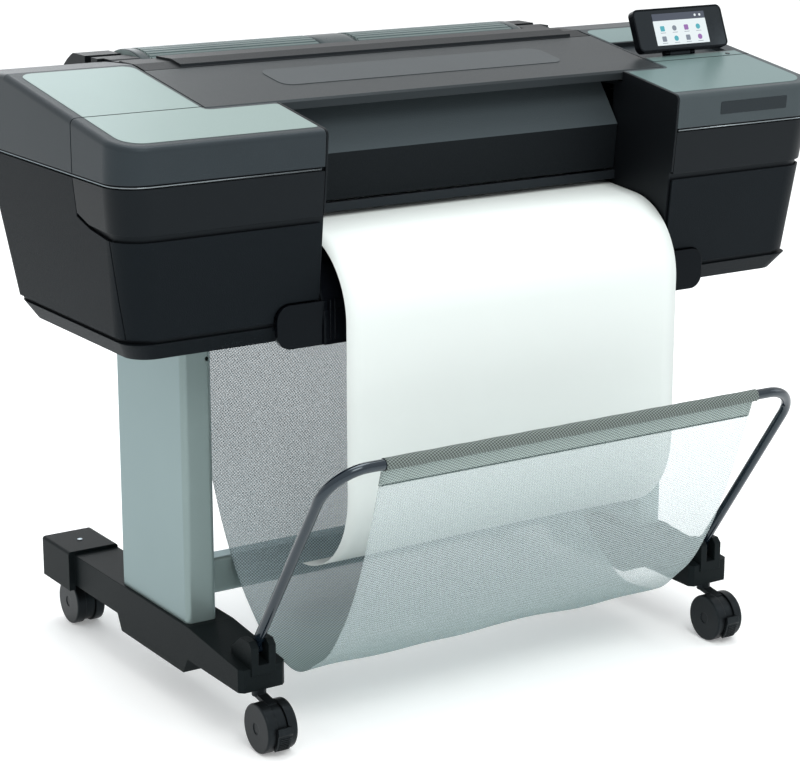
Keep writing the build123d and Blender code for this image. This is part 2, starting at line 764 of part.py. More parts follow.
with BuildPart() as platen:
    with BuildSketch(Plane.YZ.offset(left_inner_x + 1)):
        with BuildLine():
            Polyline(
                (-60, sheet_z(-60) - 4), (platen_rear_y, sheet_z(platen_rear_y) - 4),
                (platen_rear_y, sheet_z(platen_rear_y) - 24), (60, sheet_z(0) - 40),
                (-30, sheet_z(0) - 40), (-60, sheet_z(-60) - 12), close=True,
            )
        make_face()
    extrude(amount=right_inner_x - left_inner_x - 2)
    add(block_of(
        left_inner_x + 6, right_inner_x - 6, roller_y - roller_radius - 1.5,
        roller_y + roller_radius + 2.5, sheet_z(0) - 34, 800,
    ), mode=Mode.SUBTRACT)
    with BuildSketch(Plane.YZ.offset(left_inner_x)):
        with Locations((roller_y, roller_z)):
            Circle(roller_axle_radius + running_gap)
    extrude(amount=right_inner_x - left_inner_x, mode=Mode.SUBTRACT)

# ==== paper drive =========================================================
with BuildPart() as drive_roller:
    with BuildSketch(Plane.YZ.offset(left_inner_x + 8)):
        with Locations((roller_y, roller_z)):
            Circle(roller_radius)
    extrude(amount=right_inner_x - left_inner_x - 16)
    with BuildSketch(Plane.YZ.offset(left_inner_x + 2)):
        with Locations((roller_y, roller_z)):
            Circle(roller_axle_radius)
    extrude(amount=right_inner_x - left_inner_x - 4)

with BuildPart() as pinch_rollers:
    with BuildSketch(Plane.YZ.offset(left_inner_x + 6)):
        with Locations((roller_y, pinch_z)):
            Circle(2.5)
    extrude(amount=right_inner_x - left_inner_x - 12)
    pinch_pitch = (right_inner_x - left_inner_x) / 7
    for step in range(7):
        with BuildSketch(Plane.YZ.offset(left_inner_x + pinch_pitch * (step + 0.5) - 20)):
            with Locations((roller_y, pinch_z)):
                Circle(pinch_radius)
        extrude(amount=40)

# ==== carriage and its drive ==============================================
with BuildPart() as carriage_rail:
    with BuildSketch(Plane.YZ.offset(-rail_end)):
        with Locations((rail_front + rail_depth / 2, (rail_bottom + rail_top) / 2)):
            Rectangle(rail_depth, rail_top - rail_bottom)
            Rectangle(rail_depth - 6, rail_top - rail_bottom - 6, mode=Mode.SUBTRACT)
    extrude(amount=2 * rail_end)
    for sign in (-1, 1):
        with Locations((sign * pulley_x, rail_front + 8, rail_top + 16)):
            Box(12, 8, 36)
        with BuildSketch(Plane.XZ.offset(-(rail_front + 5))):
            with Locations((sign * pulley_x, belt_z)):
                Circle(3)
        extrude(amount=17)


def make_pulley(sign):
    """Flanged belt pulley that turns on its stub at one end of the rail."""
    with BuildPart() as pulley:
        with BuildSketch(Plane.XZ.offset(-(rail_front + 1))):
            with Locations((sign * pulley_x, belt_z)):
                Circle(pulley_radius)
        extrude(amount=10)
        for start in (-(rail_front + 1), -(rail_front - 8)):
            with BuildSketch(Plane.XZ.offset(start)):
                with Locations((sign * pulley_x, belt_z)):
                    Circle(pulley_radius + 3)
            extrude(amount=1)
        with BuildSketch(Plane.XZ.offset(-(rail_front + 4))):
            with Locations((sign * pulley_x, belt_z)):
                Circle(3 + running_gap)
        extrude(amount=20, mode=Mode.SUBTRACT)
    return pulley


with BuildPart() as carriage_belt:
    with BuildSketch(Plane.XZ.offset(-(rail_front - 1))):
        with Locations((0, belt_z)):
            SlotCenterToCenter(2 * pulley_x, 2 * (pulley_radius + 1.6))
            SlotCenterToCenter(2 * pulley_x, 2 * (pulley_radius + 0.3), mode=Mode.SUBTRACT)
    extrude(amount=6)

with BuildPart() as carriage:
    with BuildSketch(Plane.YZ.offset(park_x - carriage_width / 2)):
        with BuildLine():
            Polyline(
                (-50, 762), (-50, 840), (-30, 862), (40, 862), (40, 851),
                (rail_front - 1.5, 851), (rail_front - 1.5, 800), (46, 762), close=True,
            )
        make_face()
    extrude(amount=carriage_width)
    for step in range(printhead_count):
        head_x = park_x + (step - (printhead_count - 1) / 2) * printhead_pitch
        add(block_of(
            head_x - printhead_width / 2 - 0.5, head_x + printhead_width / 2 + 0.5, -36, head_rear_y + 0.5, 700, 858,
        ), mode=Mode.SUBTRACT)

with BuildPart() as printheads:
    for step in range(printhead_count):
        head_x = park_x + (step - (printhead_count - 1) / 2) * printhead_pitch
        add(block_of(
            head_x - printhead_width / 2, head_x + printhead_width / 2, -35.5, head_rear_y, head_bottom, 857.5,
        ))

with BuildPart() as service_station:
    add(block_of(park_x - 58, park_x + 58, -48, 52, bay_top_z + wall, bay_top_z + wall + 6))
    for step in range(printhead_count):
        cap_x = park_x + (step - (printhead_count - 1) / 2) * printhead_pitch
        add(block_of(cap_x - 5, cap_x + 5, -30, 24, bay_top_z + wall, head_bottom - 1.5))


def make_cartridges(sign, inner_x):
    """Ink cartridges, side by side in their bay, each a box with a finger lip in front."""
    start = inner_x + sign * 10
    with BuildPart() as cartridges:
        for step in range(cartridge_count):
            x = start + sign * (cartridge_pitch * (step + 0.5))
            add(block_of(
                x - cartridge_width / 2, x + cartridge_width / 2, -178, 70, bay_floor_z, bay_top_z - 6,
            ))
            add(block_of(x - 14, x + 14, -184, -178, bay_floor_z + 16, bay_floor_z + 44))
    return cartridges


# ==== roll bay ============================================================
trough_inner = roll_cover_radius + trough_gap
trough_outer = trough_inner + trough_wall
roll_axis = (roll_axis_y, roll_axis_z)


def ring_sector(inner_radius, outer_radius, start, sweep_angle, x_low, x_high):
    """Curved wall about the roll's axis; angles from +Y towards +Z, in degrees."""
    with BuildPart() as sector:
        with BuildSketch(Plane.YZ.offset(x_low)):
            with BuildLine():
                outer = CenterArc(roll_axis, outer_radius, start, sweep_angle)
                inner = CenterArc(roll_axis, inner_radius, start, sweep_angle)
                Line(outer @ 0, inner @ 0)
                Line(outer @ 1, inner @ 1)
            make_face()
        extrude(amount=x_high - x_low)
    return sector.part


def end_wall(sign):
    """One end of the roll bay: a plate whose top follows the deck and rounds to the rear."""
    x_low, x_high = sorted((sign * (cover_half_width + 3), sign * bay_half_width))
    beside_low, beside_high = sorted((sign * (abs(cover_edge(sign)) - 1), sign * (half_width)))
    with BuildPart() as plate:
        with BuildSketch(Plane.YZ.offset(x_low)):
            with Locations(roll_axis):
                Circle(trough_outer)
            with BuildLine():
                Polyline(
                    (bay_front_y + 2, roll_axis_z - 60), (bay_front_y + 2, top_z(bay_front_y + 2)),
                    (top_break_y, top_break_z), (deck_rear_y, deck_rear_z),
                    (deck_rear_y + 44, deck_rear_z - 30),
                    (roll_axis_y + trough_outer - 4, roll_axis_z + 34), (roll_axis_y, roll_axis_z - 60),
                    close=True,
                )
            make_face()
        extrude(amount=x_high - x_low)
        add(block_of(beside_low, beside_high, 0, box_rear_high + 8, 0, 1100), mode=Mode.SUBTRACT)
        add(block_of(x_low - 1, x_high + 1, deck_lip_y, 500, end_wall_top, 1100), mode=Mode.SUBTRACT)
        with BuildSketch(Plane.YZ.offset(x_low - 1)):
            with Locations(roll_axis):
                Circle(spindle_radius + running_gap)
            with Locations((roll_axis_y, roll_axis_z + 100)):
                Rectangle(2 * (spindle_radius + running_gap), 200)
        extrude(amount=x_high - x_low + 2, mode=Mode.SUBTRACT)
    return plate.part


with BuildPart() as roll_housing:
    add(ring_sector(trough_inner, trough_outer, 22, -162, -bay_half_width, bay_half_width))
    for sign in (-1, 1):
        add(end_wall(sign))
    # deck in front of the roll, with the raised rim around its mouth
    add(region([
        (cover_rear_y + skin_gap, top_z(cover_rear_y) - 8), (cover_rear_y + skin_gap, top_z(cover_rear_y + 2)),
        (top_break_y, top_break_z), (deck_lip_y, top_break_z - 0.5), (deck_lip_y, top_break_z - 7),
        (top_break_y, top_break_z - 8),
    ], cover_left_x + 2, cover_right_x - 2))
    add(region([
        (cover_rear_y + 6, top_z(cover_rear_y)), (cover_rear_y + 8, top_z(cover_rear_y) + 5),
        (top_break_y, top_break_z + 4), (deck_lip_y, top_break_z + 3), (deck_lip_y, top_break_z - 2),
        (top_break_y, top_break_z - 2),
    ], rim_left_x, rim_right_x))

with BuildPart() as roll_cover:
    add(ring_sector(
        roll_cover_radius - wall, roll_cover_radius, roll_cover_start, roll_cover_sweep,
        -cover_half_width, cover_half_width,
    ))
    for x_low in (-cover_half_width, cover_half_width - wall):
        add(ring_sector(
            roll_cover_radius - 14, roll_cover_radius - 1, roll_cover_start, roll_cover_sweep,
            x_low, x_low + wall,
        ))


def disc(radius, x_low, x_high):
    """Cylinder about the roll's axis."""
    with BuildPart() as cylinder:
        with BuildSketch(Plane.YZ.offset(x_low)):
            with Locations(roll_axis):
                Circle(radius)
        extrude(amount=x_high - x_low)
    return cylinder.part


with BuildPart() as spindle:
    add(disc(spindle_radius, -bay_half_width + 4, bay_half_width - 4))
    for x_low, plug in ((paper_left_x - 9, 30), (paper_right_x + 1, -30)):
        add(disc(hub_radius, x_low, x_low + 8))
        add(disc(core_tube_radius - running_gap, min(x_low, x_low + plug), max(x_low, x_low + plug) + 8))

with BuildPart() as paper_roll:
    add(disc(roll_radius, paper_left_x, paper_right_x))
    add(disc(core_tube_radius, paper_left_x - 1, paper_right_x + 1), mode=Mode.SUBTRACT)

with BuildPart() as paper_sheet:
    with BuildSketch(Plane.YZ.offset(paper_left_x)):
        with BuildLine():
            front = CenterArc((bend_centre_y, bend_centre_z), bend_radius, 90 + degrees(paper_slope),
                              90 - degrees(paper_slope))
            Line(roll_exit, front @ 0)
            curl = CenterArc((curl_centre_y, curl_centre_z), curl_radius, 180, curl_end - 180)
            Line(front @ 1, curl @ 0)
        trace(line_width=paper_thickness)
    extrude(amount=media_width)

# ==== middle covers =======================================================
with BuildPart() as top_cover:
    with BuildSketch(Plane.YZ.offset(cover_left_x)):
        with BuildLine():
            Polyline(
                (cover_lip_y, top_z(cover_lip_y) - 14), (cover_lip_y, top_z(cover_lip_y) - 3),
                (cover_lip_y + 4, top_z(cover_lip_y + 4)), (cover_rear_y, top_z(cover_rear_y)),
                (cover_rear_y, top_z(cover_rear_y) - cover_thickness),
                (-66, top_z(-66) - cover_thickness), (-70, top_z(cover_lip_y) - 14), close=True,
            )
        make_face()
    extrude(amount=cover_right_x - cover_left_x)

with BuildPart() as window_door:
    with BuildSketch(Plane.YZ.offset(left_inner_x + skin_gap)):
        with BuildLine():
            Polyline((door_hinge[0] - 1, door_hinge[1] - 4), door_ridge, door_foot)
        trace(line_width=4)
        with Locations(door_hinge):
            Circle(5)
    extrude(amount=right_inner_x - left_inner_x - 2 * skin_gap)
    with BuildSketch(Plane.YZ.offset(left_inner_x - 2.5)):
        with Locations(door_hinge):
            Circle(door_pin_radius)
    extrude(amount=right_inner_x - left_inner_x + 5)

with BuildPart() as exit_guide:
    add(block_of(left_inner_x, right_inner_x, -70, -60, exit_slot_z, door_foot[1] - 4))

with BuildPart() as rear_panel:
    add(block_of(left_inner_x, right_inner_x, box_rear_low - 6, box_rear_low - 3, tray_top, 726))
    add(block_of(inlet_x - 14, inlet_x + 14, 150, 220, inlet_z - 24, inlet_z + 24), mode=Mode.SUBTRACT)
    add(block_of(inlet_x - 90, inlet_x - 74, 150, 220, inlet_z - 8, inlet_z + 8), mode=Mode.SUBTRACT)
    add(block_of(inlet_x - 60, inlet_x - 46, 150, 220, inlet_z - 4, inlet_z + 4), mode=Mode.SUBTRACT)

with BuildPart() as power_inlet:
    back_y = box_rear_low - 2
    add(block_of(inlet_x - 13.9, inlet_x + 13.9, back_y - 20, back_y, inlet_z - 23.9, inlet_z + 23.9))
    add(block_of(inlet_x - 12, inlet_x + 12, back_y - 16, back_y + 2, inlet_z - 20, inlet_z - 4), mode=Mode.SUBTRACT)
    for pin_x, pin_z in ((-7, -14), (7, -14), (0, -10)):
        add(block_of(inlet_x + pin_x - 1, inlet_x + pin_x + 1, box_rear_low - 20, box_rear_low - 5,
                     inlet_z + pin_z - 2, inlet_z + pin_z + 2))

# ==== display =============================================================
# the case's front face leans back; its plane's Y runs up the face
face_plane = Plane(origin=(display_left_x + display_width / 2, display_y, display_z),
                   x_dir=(1, 0, 0), z_dir=(0, -cos(lean), sin(lean)))
arm_depth = display_thickness + display_arm
axis_y = display_y + arm_depth * cos(lean)
axis_z = display_z - arm_depth * sin(lean)
display_centre_x = display_left_x + display_width / 2
with BuildPart() as display:
    with BuildSketch(face_plane):
        with Locations((0, display_height / 2)):
            RectangleRounded(display_width, display_height, 10)
    extrude(amount=-display_thickness)
    with BuildSketch(face_plane):
        with Locations((0, display_height / 2)):
            RectangleRounded(display_width - 6, display_height - 6, 7)
    extrude(amount=-1.4, mode=Mode.SUBTRACT)
    for ear_x in (-31, 23):
        with BuildSketch(Plane.YZ.offset(display_centre_x + ear_x)):
            with Locations((axis_y, axis_z)):
                Circle(barrel_radius)
            with BuildLine():
                reach = display_arm + 2
                Polyline(
                    (axis_y, axis_z), (axis_y - reach * cos(lean), axis_z + reach * sin(lean)),
                    (axis_y - reach * cos(lean) + 14 * sin(lean), axis_z + reach * sin(lean) + 14 * cos(lean)),
                    (axis_y + barrel_radius * sin(lean), axis_z + barrel_radius * cos(lean)), close=True,
                )
            make_face()
        extrude(amount=8)
    with BuildSketch(Plane.YZ.offset(display_centre_x - 25)):
        with Locations((axis_y, axis_z)):
            Circle(display_pin_radius)
    extrude(amount=50)

with BuildPart() as display_glass:
    with BuildSketch(face_plane.offset(-1.4)):
        with Locations((0, display_height / 2)):
            RectangleRounded(display_width - 6.2, display_height - 6.2, 6.9)
    extrude(amount=1.2)

button_plane = Plane(origin=(button_x, button_y, top_z(button_y)), x_dir=(1, 0, 0),
                     z_dir=(0, -sin(top_angle), cos(top_angle)))
with BuildPart() as power_button:
    with BuildSketch(button_plane.offset(-2.5)):
        Circle(button_radius)
    extrude(amount=4)
    fillet(power_button.edges().group_by(Axis.Z)[-1], 0.4)


def display_well(depth, margin):
    """Space of the pocket behind the display, down from the top face and grown by a margin."""
    front_y, rear_y = pocket_front_y - margin, pocket_rear_y + margin
    return region(
        [(front_y, top_z(front_y) - depth), (front_y, 1100), (rear_y, 1100), (rear_y, top_z(rear_y) - depth)],
        pocket_left_x - margin, pocket_right_x + margin,
    )


def display_post():
    """Lug on the pocket's floor that carries the display's hinge pin."""
    with BuildPart() as post:
        with BuildSketch(Plane.YZ.offset(display_centre_x - 21)):
            with Locations((axis_y, axis_z)):
                Circle(barrel_radius)
            with Locations((axis_y, axis_z - barrel_radius)):
                Rectangle(2 * barrel_radius, 2 * barrel_radius)
        extrude(amount=42)
        with BuildSketch(Plane.YZ.offset(display_centre_x - 22)):
            with Locations((axis_y, axis_z)):
                Circle(display_pin_radius + running_gap)
        extrude(amount=44, mode=Mode.SUBTRACT)
    return post.part


def well_pad():
    """Thick patch of the right rear top that the pocket is sunk into."""
    with BuildPart() as pad:
        add(box_block(1, right_inner_x))
        add(display_well(pocket_depth + wall, wall), mode=Mode.INTERSECT)
    return pad.part


with BuildPart() as right_rear_top:
    add(make_rear_top(1, right_inner_x).part)
    add(well_pad())
    add(display_well(pocket_depth, 0), mode=Mode.SUBTRACT)
    add(display_post())
    with BuildSketch(button_plane.offset(4)):
        Circle(button_radius + running_gap)
    extrude(amount=-12, mode=Mode.SUBTRACT)

with BuildPart() as right_housing:
    add(make_housing(1, right_inner_x).part)
    add(display_well(pocket_depth + wall + 1, wall + 1), mode=Mode.SUBTRACT)

# ==== all pieces ==========================================================
for sign, inner_x in ((-1, left_inner_x), (1, right_inner_x)):
    side = side_of(sign)
    save(make_foot(sign), f"{side}_foot")
    save(make_column(sign), f"{side}_column")
    save(make_bin_bracket(sign), f"{side}_bin_bracket")
    for end, contact_y, stem_y in (
        ("front", front_contact_y, front_stem_y), ("rear", rear_contact_y, rear_stem_y),
    ):
        save(make_caster(sign, contact_y, stem_y), f"{end}_{side}_caster")
        save(make_wheels(sign, contact_y), f"{end}_{side}_wheels")
    save(make_brake_lever(sign), f"{side}_brake_lever")
    save(make_ink_door(sign, inner_x), f"{side}_ink_door")
    save(make_side_panel(sign, inner_x), f"{side}_side_panel")
    save(make_lid(sign, inner_x), f"{side}_lid")
    save(make_cartridges(sign, inner_x), f"{side}_ink_cartridges")
    save(make_pulley(sign), "motor_pulley" if sign > 0 else "idler_pulley")

save(make_housing(-1, left_inner_x), "left_housing")
save(right_housing, "right_housing")
save(make_rear_top(-1, left_inner_x), "left_rear_top")
save(right_rear_top, "right_rear_top")

for piece, name in (
    (crossbar, "crossbar"), (stand_screws, "stand_screws"), (bin_bar, "bin_bar"),
    (bin_rear_rod, "bin_rear_rod"), (bin_rear_mesh, "bin_rear_mesh"), (bin_front_mesh, "bin_front_mesh"),
    (base_tray, "base_tray"), (output_apron, "output_apron"), (platen, "platen"),
    (drive_roller, "drive_roller"), (pinch_rollers, "pinch_rollers"), (carriage_rail, "carriage_rail"),
    (carriage_belt, "carriage_belt"), (carriage, "carriage"), (printheads, "printheads"),
    (service_station, "service_station"), (roll_housing, "roll_housing"), (roll_cover, "roll_cover"),
    (spindle, "spindle"), (paper_roll, "paper_roll"), (paper_sheet, "paper_sheet"),
    (top_cover, "top_cover"), (window_door, "window_door"), (exit_guide, "exit_guide"),
    (rear_panel, "rear_panel"), (power_inlet, "power_inlet"), (display, "display"),
    (display_glass, "display_glass"), (power_button, "power_button"),
):
    save(piece, name)
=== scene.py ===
import bpy
import math
import numpy as np
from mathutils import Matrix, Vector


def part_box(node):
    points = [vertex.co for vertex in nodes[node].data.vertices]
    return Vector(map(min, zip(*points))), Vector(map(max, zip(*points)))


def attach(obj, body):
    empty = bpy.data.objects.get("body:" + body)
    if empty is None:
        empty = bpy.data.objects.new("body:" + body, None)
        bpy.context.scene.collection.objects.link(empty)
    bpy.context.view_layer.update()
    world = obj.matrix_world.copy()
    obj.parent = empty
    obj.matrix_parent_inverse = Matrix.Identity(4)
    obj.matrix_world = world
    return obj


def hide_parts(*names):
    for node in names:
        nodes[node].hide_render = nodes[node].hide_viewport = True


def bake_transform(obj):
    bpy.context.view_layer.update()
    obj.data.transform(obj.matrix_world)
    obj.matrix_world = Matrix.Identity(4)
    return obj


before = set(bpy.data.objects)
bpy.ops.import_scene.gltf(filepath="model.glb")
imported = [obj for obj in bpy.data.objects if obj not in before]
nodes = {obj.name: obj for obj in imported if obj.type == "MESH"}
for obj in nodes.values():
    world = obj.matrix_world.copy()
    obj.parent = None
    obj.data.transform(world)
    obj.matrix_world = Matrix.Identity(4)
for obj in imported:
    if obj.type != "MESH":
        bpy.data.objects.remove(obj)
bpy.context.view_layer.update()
sides = (("left", -1), ("right", 1))

# places shared by several pieces, in metres, read from the frame where a node gives them
doorReach = 0.0025      # how far the window door reaches into each side box
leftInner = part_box("window_door")[0].x + doorReach
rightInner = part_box("window_door")[1].x - doorReach
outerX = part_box("left_lid")[0].x
coverLow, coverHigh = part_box("top_cover")
barRadius = 0.008
bar = dict(y=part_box("bin_bar")[0].y + barRadius, z=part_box("bin_bar")[1].z - barRadius, radius=barRadius)
rollAxis = (0.285, 0.838)       # y, z

# camera and light; angles in degrees, lens and sensor in millimetres
cameraSet = dict(place=(-2.0142, -3.0674, 1.4219), turn=32.80, dip=15.09, lens=106.4, sensor=36, reach=200)


def makeCamera(v):
    cam = bpy.data.cameras.new("camera")
    cam.lens, cam.sensor_width, cam.clip_end = v["lens"], v["sensor"], v["reach"]
    holder = bpy.data.objects.new("camera", cam)
    holder.location = v["place"]
    holder.rotation_euler = (math.radians(90 - v["dip"]), 0, -math.radians(v["turn"]))
    bpy.context.collection.objects.link(holder)
    bpy.context.scene.camera = holder


lightSet = dict(
    worldColor=(0.985, 0.995, 1.0), worldStrength=1.0,
    lamps=(
        # name, place, aim, size, watts, colour
        ("keyLamp", (-0.5, -3.0, 3.5), (0, 0, 0.75), 1.6, 50, (1, 0.99, 0.97)),
        ("topLamp", (0.2, 0.2, 3.6), (0, 0, 0.9), 2.0, 62, (0.97, 0.99, 1)),
        ("sideLamp", (3.4, -1.6, 1.8), (0, 0, 0.7), 1.6, 12, (0.95, 0.98, 1)),
        ("backLamp", (0.4, 3.6, 2.2), (0, 0, 0.8), 2.0, 22, (0.95, 0.98, 1)),
    ),
)


def makeLights(v):
    world = bpy.data.worlds.new("studio")
    world.use_nodes = True
    sky = world.node_tree.nodes["Background"]
    sky.inputs["Color"].default_value = (*v["worldColor"], 1)
    sky.inputs["Strength"].default_value = v["worldStrength"]
    bpy.context.scene.world = world
    for name, place, aim, size, watts, color in v["lamps"]:
        lamp = bpy.data.lights.new(name, "AREA")
        lamp.size, lamp.energy, lamp.color = size, watts, color
        holder = bpy.data.objects.new(name, lamp)
        holder.location = place
        reach = np.array(aim) - np.array(place)
        flat = math.hypot(reach[0], reach[1])
        holder.rotation_euler = (math.atan2(flat, -reach[2]), 0, math.atan2(-reach[0], reach[1]))
        bpy.context.collection.objects.link(holder)
    bpy.context.scene.view_settings.view_transform = "Standard"


makeCamera(cameraSet)
makeLights(lightSet)
print("camera and lights placed")


# materials
class Sock:
    # a node's output on which sums can be written
    def __init__(self, finish, out):
        self.finish, self.out = finish, out

    def __add__(self, other):
        return self.finish.maths("ADD", self, other)

    def __sub__(self, other):
        return self.finish.maths("SUBTRACT", self, other)

    def __mul__(self, other):
        return self.finish.maths("MULTIPLY", self, other)

    def __rsub__(self, other):
        return self.finish.maths("SUBTRACT", other, self)

    def __gt__(self, other):
        return self.finish.maths("GREATER_THAN", self, other)

    __radd__ = __add__
    __rmul__ = __mul__


class Finish:
    # one material: a Principled shader with the uniform values set on its own sockets
    def __init__(self, name, color, roughness, **values):
        self.material = bpy.data.materials.new(name)
        self.material.use_nodes = True
        self.tree = self.material.node_tree
        self.shader = self.tree.nodes["Principled BSDF"]
        self.set("Base Color", (*color, 1))
        self.set("Roughness", roughness)
        for key, value in values.items():
            self.set(key.replace("_", " "), value)

    def set(self, key, value):
        if isinstance(value, Sock):
            self.tree.links.new(value.out, self.shader.inputs[key])
        else:
            self.shader.inputs[key].default_value = value

    def node(self, kind, settings=None, inputs=None, out=0):
        made = self.tree.nodes.new("ShaderNode" + kind)
        for key, value in (settings or {}).items():
            if key == "stops":
                ramp = made.color_ramp
                while len(ramp.elements) < len(value):
                    ramp.elements.new(1)
                for stop, (place, color) in zip(ramp.elements, value):
                    stop.position, stop.color = place, (*color, 1)
            else:
                setattr(made, key, value)
        for key, value in (inputs or {}).items():
            if isinstance(value, Sock):
                self.tree.links.new(value.out, made.inputs[key])
            else:
                made.inputs[key].default_value = value
        return Sock(self, made.outputs[out])

    def maths(self, kind, a, b=0.0):
        return self.node("Math", {"operation": kind}, {0: a, 1: b})

    def sine(self, a):
        return self.node("Math", {"operation": "SINE"}, {0: a})

    def object(self):
        return self.node("TexCoord", out=3)

    def uv(self):
        return self.node("TexCoord", out=2)

    def parts(self, vector):
        split = self.node("SeparateXYZ", None, {0: vector})
        owner = split.out.node
        return [Sock(self, owner.outputs[i]) for i in range(3)]

    def noise(self, vector, scale, detail=2.0):
        return self.node("TexNoise", None, {"Vector": vector, "Scale": scale, "Detail": detail})

    def blend(self, factor, a, b):
        return self.node("Mix", {"data_type": "RGBA"}, {0: factor, 6: (*a, 1), 7: (*b, 1)}, out=2)

    def relief(self, height, distance, strength=1.0, edge=None):
        # bump from a height, over edges softened to the given radius
        inputs = {"Height": height, "Distance": distance, "Strength": strength}
        if edge:
            inputs["Normal"] = self.node("Bevel", {"samples": 4}, {"Radius": edge})
        self.set("Normal", self.node("Bump", None, inputs))


def shade(color, amount):
    return tuple(min(1.0, c * amount) for c in color)


gleamTint = (0.74, 0.90, 1.0, 1)
cloudSet = dict(scale=7.0, detail=3.0, roughSpread=0.16)


def moulded(name, color, roughness, grain=900.0, depth=0.00012, spread=0.16, edge=0.0012, gleam=0.20, **values):
    # moulded or coated surface: cloudy tone, fine grain of a given scale and depth, softened edges
    finish = Finish(name, color, roughness, Specular_IOR_Level=gleam, Specular_Tint=gleamTint, **values)
    place = finish.object()
    cloud = finish.noise(place, cloudSet["scale"], cloudSet["detail"])
    finish.set("Base Color", finish.blend(cloud, shade(color, 1 - spread), shade(color, 1 + spread)))
    fine = finish.noise(place, grain)
    vary = cloudSet["roughSpread"]
    finish.set("Roughness", fine * vary + (roughness - vary / 2))
    finish.relief(fine, depth, 1.0, edge)
    return finish.material


finishes = dict(
    # side boxes, lids and covers
    charcoal=moulded("charcoalPlastic", (0.0050, 0.0066, 0.0082), 0.52, 520, 0.00030, edge=0.0016, gleam=0.07),
    lidRim=moulded("lidRimPlastic", (0.0190, 0.0240, 0.0275), 0.42, 520, 0.00026, edge=0.0020),
    # painted light: the right lid's rim is a lighter copy of the left lid's rim colour
    lidRimRightPaintedLight=moulded("lidRimRightPaintedLight", (0.0420, 0.0530, 0.0570), 0.42, 520, 0.00026, edge=0.0020),
    coverTop=moulded("topCoverPlastic", (0.0150, 0.0180, 0.0195), 0.38, 620, 0.00020, edge=0.0016),
    coverInset=moulded("topCoverInset", (0.026, 0.032, 0.035), 0.36, 900, 0.00008),
    stripGrey=moulded("exitStripPlastic", (0.0090, 0.0110, 0.0130), 0.42, 620, 0.00022),
    housing=moulded("innerPlastic", (0.0030, 0.0034, 0.0042), 0.45, 700, 0.00014, gleam=0.16),
    gloss=moulded("glossBlack", (0.0016, 0.0020, 0.0030), 0.16, 300, 0.00002, 0.1, 0.0016, 0.09),
    # painted sheen: the left panels are a lighter copy of the right panels' colour
    paleLeftPaintedSheen=moulded("palePanelLeftPaintedSheen", (0.188, 0.249, 0.233), 0.34, 1100, 0.00006, 0.03, 0.0008, 0.3,
                     Metallic=0.1),
    paleRight=moulded("palePanelRight", (0.110, 0.165, 0.160), 0.32, 1100, 0.00006, 0.05, 0.0008, 0.3,
                      Metallic=0.15),
    # painted highlight: a bright metallic strip under the lids, not a real trim part
    highlightStrip=moulded("paintedHighlightStrip", (0.24, 0.27, 0.285), 0.22, 900, 0.00002, 0.03, 0.0003, 0.6, Metallic=0.6),
    label=moulded("labelPlate", (0.0060, 0.0080, 0.0095), 0.20, 900, 0.00003, 0.1, 0.0004, 0.3),
    # roll cover
    cover=moulded("rollCoverGroove", (0.20, 0.25, 0.245), 0.40, 900, 0.00006),
    rib=moulded("rollCoverRib", (0.068, 0.095, 0.093), 0.34, 900, 0.00006, gleam=0.3),
    coverEnd=moulded("rollCoverEnd", (0.022, 0.031, 0.032), 0.30, 900, 0.00006, gleam=0.3),
    # stand
    column=moulded("columnPaint", (0.200, 0.255, 0.250), 0.34, 1000, 0.00010, 0.05, 0.0018, 0.4, Metallic=0.5),
    foot=moulded("footPlastic", (0.0050, 0.0070, 0.0074), 0.50, 700, 0.00024, 0.15, 0.0022, 0.08),
    caster=moulded("casterNylon", (0.0042, 0.0050, 0.0056), 0.38, 500, 0.00016, 0.2, 0.0018),
    wheel=moulded("wheelRubber", (0.0045, 0.0052, 0.0058), 0.36, 420, 0.00014, 0.2, 0.0018),
    bar=moulded("barPaint", (0.0040, 0.0075, 0.0125), 0.14, 200, 0.00002, 0.1, 0.0005, 0.5, Coat_Weight=0.25),
    # paper drive and screen
    steel=moulded("zincSteel", (0.42, 0.44, 0.45), 0.34, 500, 0.00004, 0.08, 0.0006, 0.5, Metallic=1.0),
    pulley=moulded("turnedAluminium", (0.62, 0.63, 0.64), 0.28, 500, 0.00004, 0.05, 0.0004, 0.5, Metallic=1.0),
    belt=moulded("beltRubber", (0.008, 0.008, 0.009), 0.7, 900, 0.0002),
    rollerRubber=moulded("rollerRubber", (0.010, 0.010, 0.011), 0.7, 900, 0.00020),
    ink=moulded("cartridgePlastic", (0.012, 0.014, 0.016), 0.4, 900, 0.0001),
    spindle=moulded("spindlePlastic", (0.008, 0.020, 0.040), 0.42, 700, 0.0001),
    paper=moulded("paperWhite", (0.690, 0.735, 0.716), 0.62, 1400, 0.00003, 0.01, 0.0004),
    glass=moulded("screenGlass", (0.0022, 0.0026, 0.0036), 0.08, 200, 0.00001, 0.05, 0.0006, 0.4),
    button=moulded("buttonPlastic", (0.030, 0.036, 0.038), 0.3, 900, 0.00004),
)


# upper is the door's colour with painted light on its upper slope, lower the same plastic with painted shade on
# its lower slope
doorSet = dict(ridgeZ=0.8432, upper=(0.0420, 0.0530, 0.0580), lower=(0.0016, 0.0020, 0.0026), gleam=0.18,
               grain=430, depth=0.0004, edge=0.0014, rough=0.56, smoother=0.22, roughSpread=0.2)


